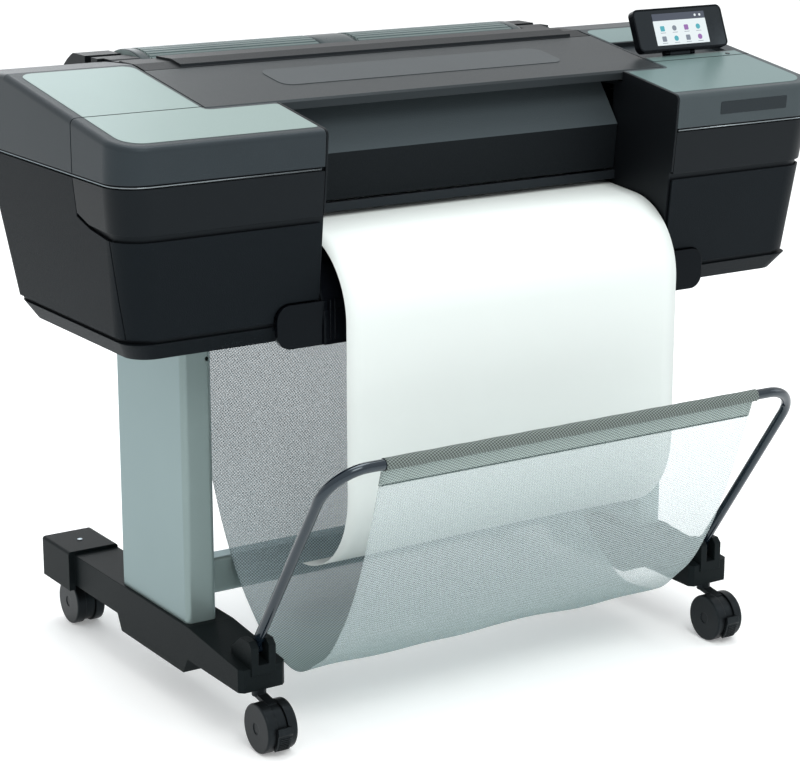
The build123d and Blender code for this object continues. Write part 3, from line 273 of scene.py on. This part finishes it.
def doorFinish(v):
    # painted light: a lit upper slope and a lower slope darkened as painted shade, also rougher; they meet
    # along the door's ridge
    finish = Finish("windowDoorPaintedLight", v["upper"], 0.42, Specular_IOR_Level=v["gleam"],
                    Specular_Tint=gleamTint)
    place = finish.object()
    speck = finish.noise(place, v["grain"])
    litUpperSlope = finish.parts(place)[2] > v["ridgeZ"]
    # painted light and shade: the upper slope takes the lit colour, the lower slope the shaded one
    finish.set("Base Color", finish.blend(litUpperSlope, v["lower"], v["upper"]))
    finish.set("Roughness", speck * v["roughSpread"] + (v["rough"] - litUpperSlope * v["smoother"]))
    finish.relief(speck, v["depth"], 1.0, v["edge"])
    return finish.material


finishes["doorGrey"] = doorFinish(doorSet)

paintedShadeWeaveSet = dict(
    pitch=0.0058,
    # distance along the cloth, thread colour, gap colour, and how closed a thread and a gap are; the colours
    # are darker at the rear and darkest at the bottom, painted shade under the machine
    zones=((0.00, (0.215, 0.275, 0.310), (0.500, 0.590, 0.635), 0.80, 0.36),
           (0.48, (0.165, 0.225, 0.240), (0.390, 0.480, 0.500), 0.84, 0.42),
           (0.62, (0.125, 0.190, 0.190), (0.360, 0.470, 0.460), 0.94, 0.64),
           (0.78, (0.220, 0.285, 0.290), (0.570, 0.655, 0.660), 0.66, 0.22),
           (1.30, (0.270, 0.325, 0.335), (0.680, 0.740, 0.750), 0.52, 0.09)),
    length=1.30,
)


# the two sets of threads: how far each leans, and how much closer the second set lies
threadSet = dict(lean=0.30, crossLean=0.22, crossCloser=1.1, roughness=0.7, gleam=0.2, depth=0.0006, bump=0.6)


def weaveFinish(name, v):
    # see-through mesh: two slanted sine waves multiplied give rows of threads and small holes
    t = threadSet
    finish = Finish(name, v["zones"][0][1], t["roughness"], Specular_IOR_Level=t["gleam"])
    across, along, _ = finish.parts(finish.uv())
    turn = 2 * math.pi / v["pitch"]
    slant = finish.sine((across + along * t["lean"]) * turn)
    cross = finish.sine((along - across * t["crossLean"]) * (turn * t["crossCloser"]))
    pattern = slant * cross * 0.5 + 0.5
    reach = along * (1 / v["length"])

    # colour and density follow the zones along the cloth; the darker rear and bottom colours are painted shade
    def ramp(pick):
        stops = [(zone[0] / v["length"], pick(zone)) for zone in v["zones"]]
        return finish.node("ValToRGB", {"stops": stops}, {"Fac": reach})

    dark, pale = ramp(lambda zone: zone[1]), ramp(lambda zone: zone[2])
    finish.set("Base Color", finish.node("Mix", {"data_type": "RGBA"}, {0: pattern, 6: dark, 7: pale}, out=2))
    closed, opened = ramp(lambda zone: (zone[3],) * 3), ramp(lambda zone: (zone[4],) * 3)
    finish.set("Alpha", pattern * (closed - opened) + opened)
    finish.relief(pattern, t["depth"], t["bump"])
    return finish.material


def evenWeave(pitch, thread, gap, closed, opened):
    # the same weave all over
    return dict(pitch=pitch, length=paintedShadeWeaveSet["length"], zones=((0, thread, gap, closed, opened),) * 2)


finishes["mesh"] = weaveFinish("binMesh", paintedShadeWeaveSet)
finishes["hem"] = weaveFinish("binHem", evenWeave(
    0.0058, (0.170, 0.220, 0.208), (0.44, 0.52, 0.50), 0.78, 0.46))
finishes["sleeve"] = weaveFinish("binSleeve", evenWeave(
    0.0062, (0.010, 0.014, 0.013), (0.22, 0.26, 0.245), 1.0, 0.95))
finishes["stitch"] = moulded("stitchThread", (0.06, 0.085, 0.085), 0.7)


def lit(name, color, strength):
    finish = Finish(name, (0.01, 0.01, 0.01), 0.3)
    finish.set("Emission Color", (*color, 1))
    finish.set("Emission Strength", strength)
    return finish.material


finishes.update(
    screenWhite=lit("screenWhite", (0.80, 0.88, 0.90), 0.95),
    screenBar=lit("screenBar", (0.035, 0.050, 0.085), 0.9),
    iconTeal=lit("iconTeal", (0.05, 0.42, 0.50), 0.9),
    iconViolet=lit("iconViolet", (0.30, 0.12, 0.42), 0.9),
    iconGrey=lit("iconGrey", (0.20, 0.24, 0.30), 0.9),
)
print("materials made:", len(finishes))


def dress(finish, *names):
    for name in names:
        for slot in nodes[name].material_slots:
            slot.material = finishes[finish]


def both(*names):
    return [side + "_" + name for side, _ in sides for name in names]


def corners(name):
    return [end + "_" + side + "_" + name for end in ("front", "rear") for side, _ in sides]


dress("charcoal", *both("side_panel", "ink_door"), "base_tray", "rear_panel")
dress("housing", *both("housing"), "platen", "service_station", "carriage", "roll_housing")
dress("lidRim", "left_lid", *both("rear_top"))
# the right lid gets the lighter copy of the rim colour, painted light
dress("lidRimRightPaintedLight", "right_lid")
dress("coverTop", "top_cover")
dress("doorGrey", "window_door")
dress("stripGrey", "exit_guide")
dress("gloss", "output_apron", "display", "power_inlet")
dress("glass", "display_glass")
dress("button", "power_button")
dress("column", *both("column"), "crossbar")
dress("foot", *both("foot", "bin_bracket"))
dress("caster", *corners("caster"), *both("brake_lever"))
dress("wheel", *corners("wheels"))
dress("rollerRubber", "drive_roller", "pinch_rollers")
dress("bar", "bin_bar", "bin_rear_rod")
dress("paper", "paper_roll")
dress("cover", "roll_cover")
dress("steel", "stand_screws", "carriage_rail")
dress("pulley", "motor_pulley", "idler_pulley")
dress("belt", "carriage_belt")
dress("ink", *both("ink_cartridges"), "printheads")
dress("spindle", "spindle")
print("frame nodes dressed")


# surfaces
def gridPiece(name, points, finish, body, closedAround=False, uv=None, thickness=0.0, offset=0.0):
    # mesh over a grid of points: neighbours in both directions make the faces
    rows, cols, _ = points.shape
    i, j = np.meshgrid(np.arange(rows - 1), np.arange(cols if closedAround else cols - 1), indexing="ij")
    nextCol = (j + 1) % cols
    quads = np.stack([i * cols + j, i * cols + nextCol, (i + 1) * cols + nextCol, (i + 1) * cols + j], -1)
    quads = quads.reshape(-1, 4)
    mesh = bpy.data.meshes.new(name)
    mesh.from_pydata(points.reshape(-1, 3).tolist(), [], quads.tolist())
    if uv is not None:
        layer = mesh.uv_layers.new(name="cloth")
        layer.data.foreach_set("uv", uv.reshape(-1, 2)[quads.ravel()].astype(np.float32).ravel())
    return finishPiece(name, mesh, finish, body, thickness, offset)


def finishPiece(name, mesh, finish, body, thickness=0.0, offset=0.0, smooth=True):
    mesh.materials.append(finishes[finish])
    mesh.polygons.foreach_set("use_smooth", np.full(len(mesh.polygons), smooth))
    mesh.update()
    piece = bpy.data.objects.new(name, mesh)
    bpy.context.collection.objects.link(piece)
    if thickness:
        wall = piece.modifiers.new("wall", "SOLIDIFY")
        wall.thickness, wall.offset = thickness, offset
    if body:
        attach(piece, body)
    return piece


plateSunk = 0.0002      # how far a plate's underside lies below the face it is on


def platePiece(name, outline, place, thickness, finish, body):
    # flat plate: a closed outline on a face, given a thickness; place(a, b, height) gives points
    count = len(outline)
    lower = place(outline[:, 0], outline[:, 1], np.full(count, -plateSunk))
    upper = place(outline[:, 0], outline[:, 1], np.full(count, thickness))
    ring = np.arange(count)
    after = (ring + 1) % count
    walls = np.stack([ring, after, after + count, ring + count], -1).tolist()
    mesh = bpy.data.meshes.new(name)
    mesh.from_pydata(np.vstack([lower, upper]).tolist(), [],
                     [list(map(int, ring[::-1])), list(map(int, ring + count)), *walls])
    return finishPiece(name, mesh, finish, body, smooth=False)


def blockPiece(name, points, cell, finish, body):
    # many eight-cornered blocks in one mesh: points holds block, corner, axis, and cell one block's faces
    faces = (np.arange(len(points))[:, None, None] * 8 + np.array(cell)).reshape(-1, 4)
    mesh = bpy.data.meshes.new(name)
    mesh.from_pydata(points.reshape(-1, 3).tolist(), [], faces.tolist())
    return finishPiece(name, mesh, finish, body, smooth=False)


def rounded(cornersIn, steps=7):
    # closed outline through corners (a, b, radius), each replaced by an arc; radius 0 stays sharp
    found = []
    spots = np.array([c[:2] for c in cornersIn], float)
    for k, (a, b, radius) in enumerate(cornersIn):
        here = np.array([a, b], float)
        back, ahead = spots[k - 1] - here, spots[(k + 1) % len(spots)] - here
        back, ahead = back / np.linalg.norm(back), ahead / np.linalg.norm(ahead)
        if radius <= 0:
            found.append(here[None])
            continue
        half = math.acos(np.clip(back @ ahead, -1, 1)) / 2
        middle = here + (back + ahead) / np.linalg.norm(back + ahead) * radius / math.sin(half)
        start, end = here + back * radius / math.tan(half), here + ahead * radius / math.tan(half)
        first, last = math.atan2(*(start - middle)[::-1]), math.atan2(*(end - middle)[::-1])
        sweep = (last - first + math.pi) % (2 * math.pi) - math.pi
        turn = first + sweep * np.linspace(0, 1, steps)
        found.append(middle + radius * np.stack([np.cos(turn), np.sin(turn)], -1))
    return np.vstack(found)


def roundedBox(left, right, low, high, corner):
    return rounded([(left, low, corner), (right, low, corner), (right, high, corner), (left, high, corner)])


def lengths(line):
    # distance along a line at each of its points
    return np.r_[0, np.cumsum(np.linalg.norm(np.diff(line, axis=0), axis=1))]


topPlane = dict(frontY=-0.227, frontZ=0.905, breakY=0.150, breakZ=0.966, rearY=0.247, rearZ=0.9572,
                slope=0.16)
frontFace = dict(y=-0.221, z=0.846, lean=0.075)


def onTop(x, y, height):
    # point on the sloping top of the machine, which breaks and falls a little at the rear
    v = topPlane
    z = np.interp(y, [v["frontY"], v["breakY"], v["rearY"]], [v["frontZ"], v["breakZ"], v["rearZ"]])
    return np.stack([x, y - height * v["slope"], z + height], -1)


def onFront(x, z, height):
    # point on a side box's front face above the painted highlight strip
    v = frontFace
    return np.stack([x, v["y"] - v["lean"] * (z - v["z"]) - height, z], -1)


# pale panels on the lids and rear tops
panelSet = dict(
    edge=0.020, front=-0.2075, rear=0.142, thick=0.0004, seamGap=0.0016,
    flange=0.006,                       # overhang past the side box's inner wall
    lip=0.009, beside=0.007,            # room left in front of and beside the top cover
    corner=0.034, innerCorner=0.005, lipCorner=0.006, rearCorner=0.022, rearInnerCorner=0.020,
    left=dict(seam=-0.076, notch=0.012, tone="paleLeftPaintedSheen"),
    right=dict(seam=-0.052, notch=0.010, tone="paleRight"),
    well=dict(front=-0.029, rear=0.066, corner=0.003),      # the screen's well in the right rear top
)


def makeTopPanels(v):
    lipY = coverLow.y - v["lip"]
    for side, sign in sides:
        own, well = v[side], v["well"]
        inner = leftInner - v["flange"] if sign < 0 else rightInner + v["flange"]
        beside = coverLow.x - v["beside"] if sign < 0 else coverHigh.x + v["beside"]
        out = sign * -(outerX + v["edge"])
        ahead, behind = own["seam"] - v["seamGap"], own["seam"] + v["seamGap"]
        front = rounded([(out, ahead, 0), (out, v["front"], v["corner"]),
                         (inner, v["front"], v["innerCorner"]), (inner, lipY, v["lipCorner"]),
                         (beside, lipY, own["notch"]), (beside, ahead, 0)])
        plates = [(side + "FrontPanel", front if sign < 0 else front[::-1], side + "_lid_body")]
        if sign < 0:
            rear = rounded([(out, behind, 0), (beside, behind, 0),
                            (beside, v["rear"], v["rearInnerCorner"]), (out, v["rear"], v["rearCorner"])])
            plates.append(("leftRearPanel", rear, "frame"))
        else:
            strip = rounded([(beside, behind, 0), (out, behind, 0),
                             (out, well["front"], 0), (beside, well["front"], 0)])
            rear = rounded([(beside, well["rear"], well["corner"]), (out, well["rear"], 0),
                            (out, v["rear"], v["rearCorner"]), (beside, v["rear"], v["rearInnerCorner"])])
            plates += [("rightStripPanel", strip, "frame"), ("rightRearPanel", rear, "frame")]
        for name, outline, body in plates:
            platePiece(name, outline, onTop, v["thick"], own["tone"], body)


makeTopPanels(panelSet)

insetSet = dict(left=-0.250, right=0.270, front=-0.012, rear=0.070, corner=0.020, thick=0.0006)
labelSet = dict(left=0.420, right=0.556, low=0.869, high=0.889, corner=0.002, thick=0.0005)


def makeCoverInset(v):
    outline = roundedBox(v["left"], v["right"], v["front"], v["rear"], v["corner"])
    platePiece("coverInset", outline, onTop, v["thick"], "coverInset", "frame")


def makeLabel(v):
    outline = roundedBox(v["left"], v["right"], v["low"], v["high"], v["corner"])
    platePiece("labelPlate", outline, onFront, v["thick"], "label", "right_lid_body")


makeCoverInset(insetSet)
makeLabel(labelSet)
print("panels laid")

# painted highlight: a bright strip under the lids, standing in for the gleam along their lower edge
highlightStripSet = dict(z=0.8482, height=0.0022, inset=0.0024, half=0.631, front=-0.221, rear=0.243, rearEnd=0.45,
               flange=0.008, corner=0.050, rearCorner=0.022, steps=14, thick=0.0008)


def makeTrimLines(v):
    # painted-highlight strip that follows the box's plan: along the front, round the outer corner and back
    # along the side
    for side, sign in sides:
        inner = leftInner - v["flange"] if sign < 0 else rightInner + v["flange"]
        out = sign * (v["half"] - v["inset"])
        front, rear = v["front"] + v["inset"], v["rear"] - v["inset"]
        plan = rounded([(inner, front, 0), (out, front, v["corner"] - v["inset"]),
                        (out, rear, v["rearCorner"] - v["inset"]), (sign * v["rearEnd"], rear, 0)],
                       v["steps"])
        z = np.array([v["z"], v["z"] + v["height"]])[:, None]
        x, y = plan[None, :, 0], plan[None, :, 1]
        points = np.stack([x + 0 * z, y + 0 * z, z + 0 * x], -1)
        gridPiece(side + "TrimLine", points if sign > 0 else points[:, ::-1], "highlightStrip", "frame",
                  thickness=v["thick"])


makeTrimLines(highlightStripSet)

# roll cover's ribs and bands
ribSet = dict(
    radius=0.132, height=0.0015, first=24.0, last=152.0, count=30, fill=0.80,
    spans=((-0.345, -0.038), (0.038, 0.345)),
    # place across the rib and share of its height
    profile=((-0.5, -0.3), (-0.46, 0.6), (-0.36, 1), (0.36, 1), (0.46, 0.6), (0.5, -0.3)),
)


def makeRibs(v):
    # each rib is a flat-topped bump about the roll's axis, carried along X; a span's ribs share one mesh
    pitch = math.radians(v["last"] - v["first"]) / (v["count"] - 1)
    spots, share = np.array(v["profile"]).T
    size = len(spots)
    centre = math.radians(v["first"]) + pitch * np.arange(v["count"])
    angle = centre[:, None] + spots * pitch * v["fill"]
    radius = np.broadcast_to(v["radius"] + share * v["height"], angle.shape)
    y = rollAxis[0] + radius * np.cos(angle)
    z = rollAxis[1] + radius * np.sin(angle)
    for number, (low, high) in enumerate(v["spans"]):
        ends = [np.stack([np.full_like(y, x), y, z], -1) for x in (low, high)]
        points = np.stack(ends, 1).reshape(-1, 3)      # rib, end, profile point
        faces = []
        for base in range(0, v["count"] * 2 * size, 2 * size):
            near, far = range(base, base + size), range(base + size, base + 2 * size)
            faces += [[near[k], near[k + 1], far[k + 1], far[k]] for k in range(size - 1)]
            faces += [list(near[::-1]), list(far), [near[-1], near[0], far[0], far[-1]]]
        name = "coverRibs" + str(number)
        mesh = bpy.data.meshes.new(name)
        mesh.from_pydata(points.tolist(), [], faces)
        finishPiece(name, mesh, "rib", "roll_cover_body", smooth=False)


bandSet = dict(
    radius=0.1334, first=16, last=154.5, around=90, across=7, edge=0.004, drop=0.0012, thick=0.0014,
    spans=(("coverMiddle", -0.037, 0.037), ("coverEndLeft", -0.365, -0.346), ("coverEndRight", 0.346, 0.365)),
)


def makeCoverBands(v):
    # smooth middle band and two dark ends, each an arc whose radius falls away in a curve at its edges
    for name, low, high in v["spans"]:
        angle = np.radians(np.linspace(v["first"], v["last"], v["around"]))[:, None]
        x = np.linspace(low, high, v["across"])[None]
        edge = np.clip((v["edge"] - np.minimum(x - low, high - x)) / v["edge"], 0, 1)
        radius = v["radius"] - v["drop"] * edge ** 2 + 0 * angle
        points = np.stack([x + 0 * angle, rollAxis[0] + radius * np.cos(angle),
                           rollAxis[1] + radius * np.sin(angle)], -1)
        gridPiece(name, points, "coverEnd", "roll_cover_body", thickness=v["thick"], offset=1.0)


makeRibs(ribSet)
makeCoverBands(bandSet)
print("roll cover ribbed")

# paper bin
binSet = dict(
    half=0.337, rows=150, cols=90, thick=0.0006,
    rear=((0.134, 0.573), (0.104, 0.380), (0.058, 0.255), (-0.006, 0.158), (-0.070, 0.102), (-0.140, 0.076)),
    front=((-0.178, 0.080), (-0.240, 0.113), (-0.304, 0.184), (-0.366, 0.306)),
    end=(0.0055, -0.0075),              # the cloth's end, from the bar's middle
    pull=0.012,                         # how far the sides pull in, as a share of the half width
    fold=0.0022, foldAt=0.60, foldOver=0.16,
    swingStart=(0, -0.100, 0.09), swingEnd=(0, -0.290, 0.165),
    hem=dict(depth=0.034, shift=0.0012, cols=60, thick=0.0005),
    sleeve=dict(gap=0.0009, ripple=0.0002, seam=0.0012, seamAt=5.3, seamOver=0.35, around=32, cols=140,
                uvRadius=0.0105),
    stitch=dict(count=120, size=(0.0042, 0.0004, 0.0007), first=0.004, last=0.008, out=0.0022, up=0.002),
)


def smoothLine(spots, count):
    # natural cubic spline through the spots, at even steps of the distance between them
    spots = np.array(spots, float)
    reach = lengths(spots)
    gaps = np.diff(reach)
    size = len(spots)
    left, right = np.eye(size), np.zeros((size, 2))
    for k in range(1, size - 1):
        left[k, k - 1:k + 2] = gaps[k - 1], 2 * (gaps[k - 1] + gaps[k]), gaps[k]
        right[k] = 6 * ((spots[k + 1] - spots[k]) / gaps[k] - (spots[k] - spots[k - 1]) / gaps[k - 1])
    bend = np.linalg.solve(left, right)
    at = np.linspace(0, reach[-1], count)
    k = np.clip(np.searchsorted(reach, at) - 1, 0, size - 2)
    t, gap = (at - reach[k])[:, None], gaps[k][:, None]
    slope = (spots[k + 1] - spots[k]) / gap - gap * (2 * bend[k] + bend[k + 1]) / 6
    return spots[k] + t * slope + t ** 2 * bend[k] / 2 + t ** 3 * (bend[k + 1] - bend[k]) / (6 * gap)


def makeBin(v):
    # the cloth is the spline from the rear rod to the bar, carried along X
    end = (bar["y"] + v["end"][0], bar["z"] + v["end"][1])
    line = smoothLine([*v["rear"], *v["front"], end], v["rows"])
    along = lengths(line)
    s = (along / along[-1])[:, None]
    x = np.linspace(-1, 1, v["cols"])[None]
    # the sides pull in along one half sine wave, and crossing sine waves make soft folds at the bottom
    half = v["half"] * (1 - v["pull"] * np.sin(np.pi * s) ** 2)
    sag = np.exp(-((s - v["foldAt"]) / v["foldOver"]) ** 2)
    waves = np.sin(9 * x + 31 * s) * np.sin(38 * s + 2.4 * x) + 0.6 * np.sin(4.2 * x - 55 * s)
    folds = v["fold"] * sag * waves
    direction = np.gradient(line, axis=0)
    direction /= np.linalg.norm(direction, axis=1)[:, None]
    y = line[:, :1] - direction[:, 1:] * folds
    z = line[:, 1:] + direction[:, :1] * folds
    points = np.stack([half * x, y + 0 * x, z + 0 * x], -1)
    uv = np.stack([half * x, along[:, None] + 0 * x], -1)
    cloth = gridPiece("binCloth", points, "mesh", None, uv=uv, thickness=v["thick"])
    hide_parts("bin_rear_mesh", "bin_front_mesh")
    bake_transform(cloth)
    # hem band on both faces of the cloth below the bar
    keep = along > along[-1] - v["hem"]["depth"]
    hemLine = line[keep]
    normal = np.stack([-direction[keep][:, 1], direction[keep][:, 0]], -1)
    joined = [makeHem(v, name, hemLine + normal * shift, along[keep][:, None])
              for name, shift in (("hemOuter", v["hem"]["shift"]), ("hemInner", -v["hem"]["shift"]))]
    joined.append(makeSleeve(v["half"], v["sleeve"], v["thick"]))
    joined.append(makeStitches(v["half"], v["stitch"], hemLine[0] + normal[0] * v["stitch"]["out"]))


def makeHem(v, name, path, along):
    # the path across Y and Z, carried along X
    across = np.linspace(-v["half"], v["half"], v["hem"]["cols"])[None]
    points = np.stack([across + 0 * path[:, :1], path[:, :1] + 0 * across, path[:, 1:] + 0 * across], -1)
    uv = np.stack([across + 0 * path[:, :1], along + 0 * across], -1)
    hem = gridPiece(name, points, "hem", "bin_bar_body", uv=uv, thickness=v["hem"]["thick"])
    return hem


def makeSleeve(half, v, thick):
    # tube round the bar, with a faint ripple and one raised seam along it
    turn = np.linspace(0, 2 * np.pi, v["around"] + 1)[:-1][None]
    across = np.linspace(-half, half, v["cols"])[:, None]
    radius = bar["radius"] + v["gap"] + v["ripple"] * np.sin(90 * across + 2 * turn)
    radius = radius + v["seam"] * np.exp(-((turn - v["seamAt"]) / v["seamOver"]) ** 2)
    points = np.stack([across + 0 * turn, bar["y"] + radius * np.cos(turn),
                       bar["z"] + radius * np.sin(turn)], -1)
    uv = np.stack([across + 0 * turn, v["uvRadius"] * turn + 0 * across], -1)
    sleeve = gridPiece("barSleeve", points, "sleeve", "bin_bar_body", True, uv=uv, thickness=thick)
    return sleeve


def makeStitches(half, v, spot):
    # one row of short stitches along the hem's lower edge
    start = np.linspace(-half + v["first"], half - v["last"], v["count"])
    box = np.array([(a, b, c) for a in (0, 1) for b in (-1, 1) for c in (-1, 1)], float)
    points = start[:, None, None] * np.array([1, 0, 0]) + box * np.array(v["size"])
    points = points + np.array([0, spot[0], spot[1] + v["up"]])
    cell = [[0, 1, 3, 2], [4, 6, 7, 5], [0, 4, 5, 1], [2, 3, 7, 6], [0, 2, 6, 4], [1, 5, 7, 3]]
    piece = blockPiece("hemStitches", points, cell, "stitch", "bin_bar_body")
    return piece


makeBin(binSet)
print("bin hung")

# paper sheet; bend and curl each hold a middle (y, z) and a radius
sheetSet = dict(bend=(-0.117, 0.620, 0.120), curl=(-0.097, 0.360, 0.140), curlEnd=268.0, roll=0.0606,
                width=0.610, cols=24, thick=0.0003, waveFrom=0.72, waveOver=0.3, wave=0.004, twist=0.002)


def makeSheet(v):
    # straight from the roll, over the front bend, down, and curled back at its end; the free end waves
    (by, bz, br), (cy, cz, cr) = v["bend"], v["curl"]
    spanY, spanZ = rollAxis[0] - by, rollAxis[1] - bz
    slope = math.atan2(spanZ, spanY) - math.asin((v["roll"] + br) / math.hypot(spanY, spanZ))
    leave = (rollAxis[0] + v["roll"] * math.sin(slope), rollAxis[1] - v["roll"] * math.cos(slope))
    over = np.linspace(math.pi / 2 + slope, math.pi, 40)
    under = np.radians(np.linspace(180, v["curlEnd"], 46))
    meet = (by + br * math.cos(over[0]), bz + br * math.sin(over[0]))
    line = np.vstack([
        np.linspace(leave, meet, 30)[:-1],
        np.stack([by + br * np.cos(over), bz + br * np.sin(over)], -1),
        np.linspace((by - br, bz), (by - br, cz), 20)[1:-1],
        np.stack([cy + cr * np.cos(under), cz + cr * np.sin(under)], -1),
    ])
    along = lengths(line)
    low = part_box("paper_sheet")[0].x
    x = np.linspace(low, low + v["width"], v["cols"])[None]
    part = (x - low) / v["width"]
    ease = np.clip((along - v["waveFrom"]) / v["waveOver"], 0, 1)[:, None]
    wave = v["wave"] * ease * np.sin(math.pi * part) - v["twist"] * ease * np.sin(2 * math.pi * part + 0.6)
    points = np.stack([x + 0 * line[:, :1], line[:, :1] + wave, line[:, 1:] + 0 * x], -1)
    sheet = gridPiece("paperSheet", points, "paper", "frame", thickness=v["thick"])
    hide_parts("paper_sheet")


makeSheet(sheetSet)
print("paper sheet hung")

# screen
screenSet = dict(
    centreX=0.501, footY=-0.034, footZ=0.947, lean=22.5, sunk=0.0001,
    half=0.055, low=0.009, high=0.0625, bar=0.012, corner=0.0008, thick=0.0003, raised=0.00045,
    icon=dict(columns=4, firstX=0.0165, stepX=0.025, firstY=0.0135, stepY=0.0175, half=0.0045, square=0.0015,
              round=0.0043, tones=("iconTeal", "iconGrey", "iconViolet", "iconTeal",
                                   "iconGrey", "iconTeal", "iconGrey", "iconViolet")),
    line=dict(half=0.0055, low=0.0076, high=0.0068, corner=0.0003),
    mark=dict(count=2, step=0.010, half=0.002, low=0.008, high=0.004, corner=0.0015),
)


def onScreen(a, b, height):
    # point on the screen's face: a across, b up the face
    v = screenSet
    lean = math.radians(v["lean"])
    depth = height - v["sunk"]
    return np.stack([v["centreX"] + a, v["footY"] + b * math.sin(lean) - depth * math.cos(lean),
                     v["footZ"] + b * math.cos(lean) + depth * math.sin(lean)], -1)


def makeScreen(v):
    def tile(name, left, right, low, high, corner, thick, finish):
        platePiece(name, roundedBox(left, right, low, high, corner), onScreen, thick, finish, "display_body")

    half, split, top = v["half"], v["high"] - v["bar"], v["high"]
    icon, line, mark = v["icon"], v["line"], v["mark"]
    tile("screenField", -half, half, v["low"], split, v["corner"], v["thick"], "screenWhite")
    tile("screenTopBar", -half, half, split, top, v["corner"], v["thick"], "screenBar")
    for number, tone in enumerate(icon["tones"]):
        row, column = divmod(number, icon["columns"])
        a = -half + icon["firstX"] + column * icon["stepX"]
        b = split - icon["firstY"] - row * icon["stepY"]
        tile("screenIcon" + str(number), a - icon["half"], a + icon["half"], b - icon["half"], b + icon["half"],
             icon["round"] if number % 2 else icon["square"], v["raised"], tone)
        tile("iconLine" + str(number), a - line["half"], a + line["half"], b - line["low"], b - line["high"],
             line["corner"], v["raised"], "iconGrey")
    for number in range(mark["count"]):
        a = half - (number + 1) * mark["step"]
        tile("barMark" + str(number), a - mark["half"], a + mark["half"], top - mark["low"], top - mark["high"],
             mark["corner"], v["raised"], "screenWhite")


makeScreen(screenSet)
print("screen lit")


# small mouldings
def ridges(name, centres, halves, finish, body, turnX=0.0):
    # small blocks with chamfered tops, one at each centre, tipped about X by turnX
    shape = np.array([(x, y, z) for z in (-1, 1) for x, y in ((-1, -1), (1, -1), (1, 1), (-1, 1))], float)
    shape[4:, :2] *= 0.8
    cell = [[3, 2, 1, 0], [4, 5, 6, 7], [0, 1, 5, 4], [1, 2, 6, 5], [2, 3, 7, 6], [3, 0, 4, 7]]
    x, y, z = (shape * np.array(halves)).T
    turned = np.stack([x, y * math.cos(turnX) - z * math.sin(turnX),
                       y * math.sin(turnX) + z * math.cos(turnX)], -1)
    return blockPiece(name, np.array(centres, float)[:, None] + turned, cell, finish, body)


detailSet = dict(
    vent=dict(count=14, pitch=0.012, z=0.668, starts=(-0.16, 0.02), proud=0.0004,
              halves=(0.0028, 0.0006, 0.022)),
    tread=dict(count=7, y=-0.250, z=0.038, radius=0.0432, first=189, last=217, halves=(0.010, 0.0007, 0.0006)),
    apron=dict(count=2, first=0.010, pitch=0.0075, z=0.626, sunk=0.0006, halves=(0.0009, 0.0018, 0.030)),
)


def makeDetails(v):
    # air slots on the rear cover, treads on the brake pedals, two ribs on the glossy apron
    vent, tread, apron = v["vent"], v["tread"], v["apron"]
    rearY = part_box("rear_panel")[1].y + vent["proud"]
    for number, start in enumerate(vent["starts"]):
        centres = [(start + k * vent["pitch"], rearY, vent["z"]) for k in range(vent["count"])]
        ridges("airSlots" + str(number), centres, vent["halves"], "housing", "frame")
    for side, _ in sides:
        low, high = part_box(side + "_brake_lever")
        hub = np.array([(low.x + high.x) / 2, tread["y"], tread["z"]])
        turns = np.radians(np.linspace(tread["first"], tread["last"], tread["count"]))
        for number, turn in enumerate(turns):
            spot = hub + tread["radius"] * np.array([0, math.cos(turn), math.sin(turn)])
            ridges(side + "PedalTread" + str(number), [spot], tread["halves"], "caster", side + "_brake",
                   turn - math.pi / 2)
    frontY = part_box("output_apron")[0].y + apron["sunk"]
    centres = [(leftInner + apron["first"] + k * apron["pitch"], frontY, apron["z"])
               for k in range(apron["count"])]
    ridges("apronRibs", centres, apron["halves"], "gloss", "frame")


makeDetails(detailSet)
print("small mouldings added")

floorSet = dict(half=40, drop=0.0005, color=(0.92, 0.935, 0.935), roughness=0.9, glow=0.2)


def makeFloor(v):
    finish = Finish("floorWhite", v["color"], v["roughness"])
    finish.set("Emission Color", (1, 1, 1, 1))
    finish.set("Emission Strength", v["glow"])
    half = v["half"]
    spots = [(-half, -half, 0), (half, -half, 0), (half, half, 0), (-half, half, 0)]
    mesh = bpy.data.meshes.new("floor")
    mesh.from_pydata(spots, [], [(0, 1, 2, 3)])
    mesh.materials.append(finish.material)
    floor = bpy.data.objects.new("floor", mesh)
    floor.location.z = -v["drop"]
    bpy.context.collection.objects.link(floor)


makeFloor(floorSet)

print("done")
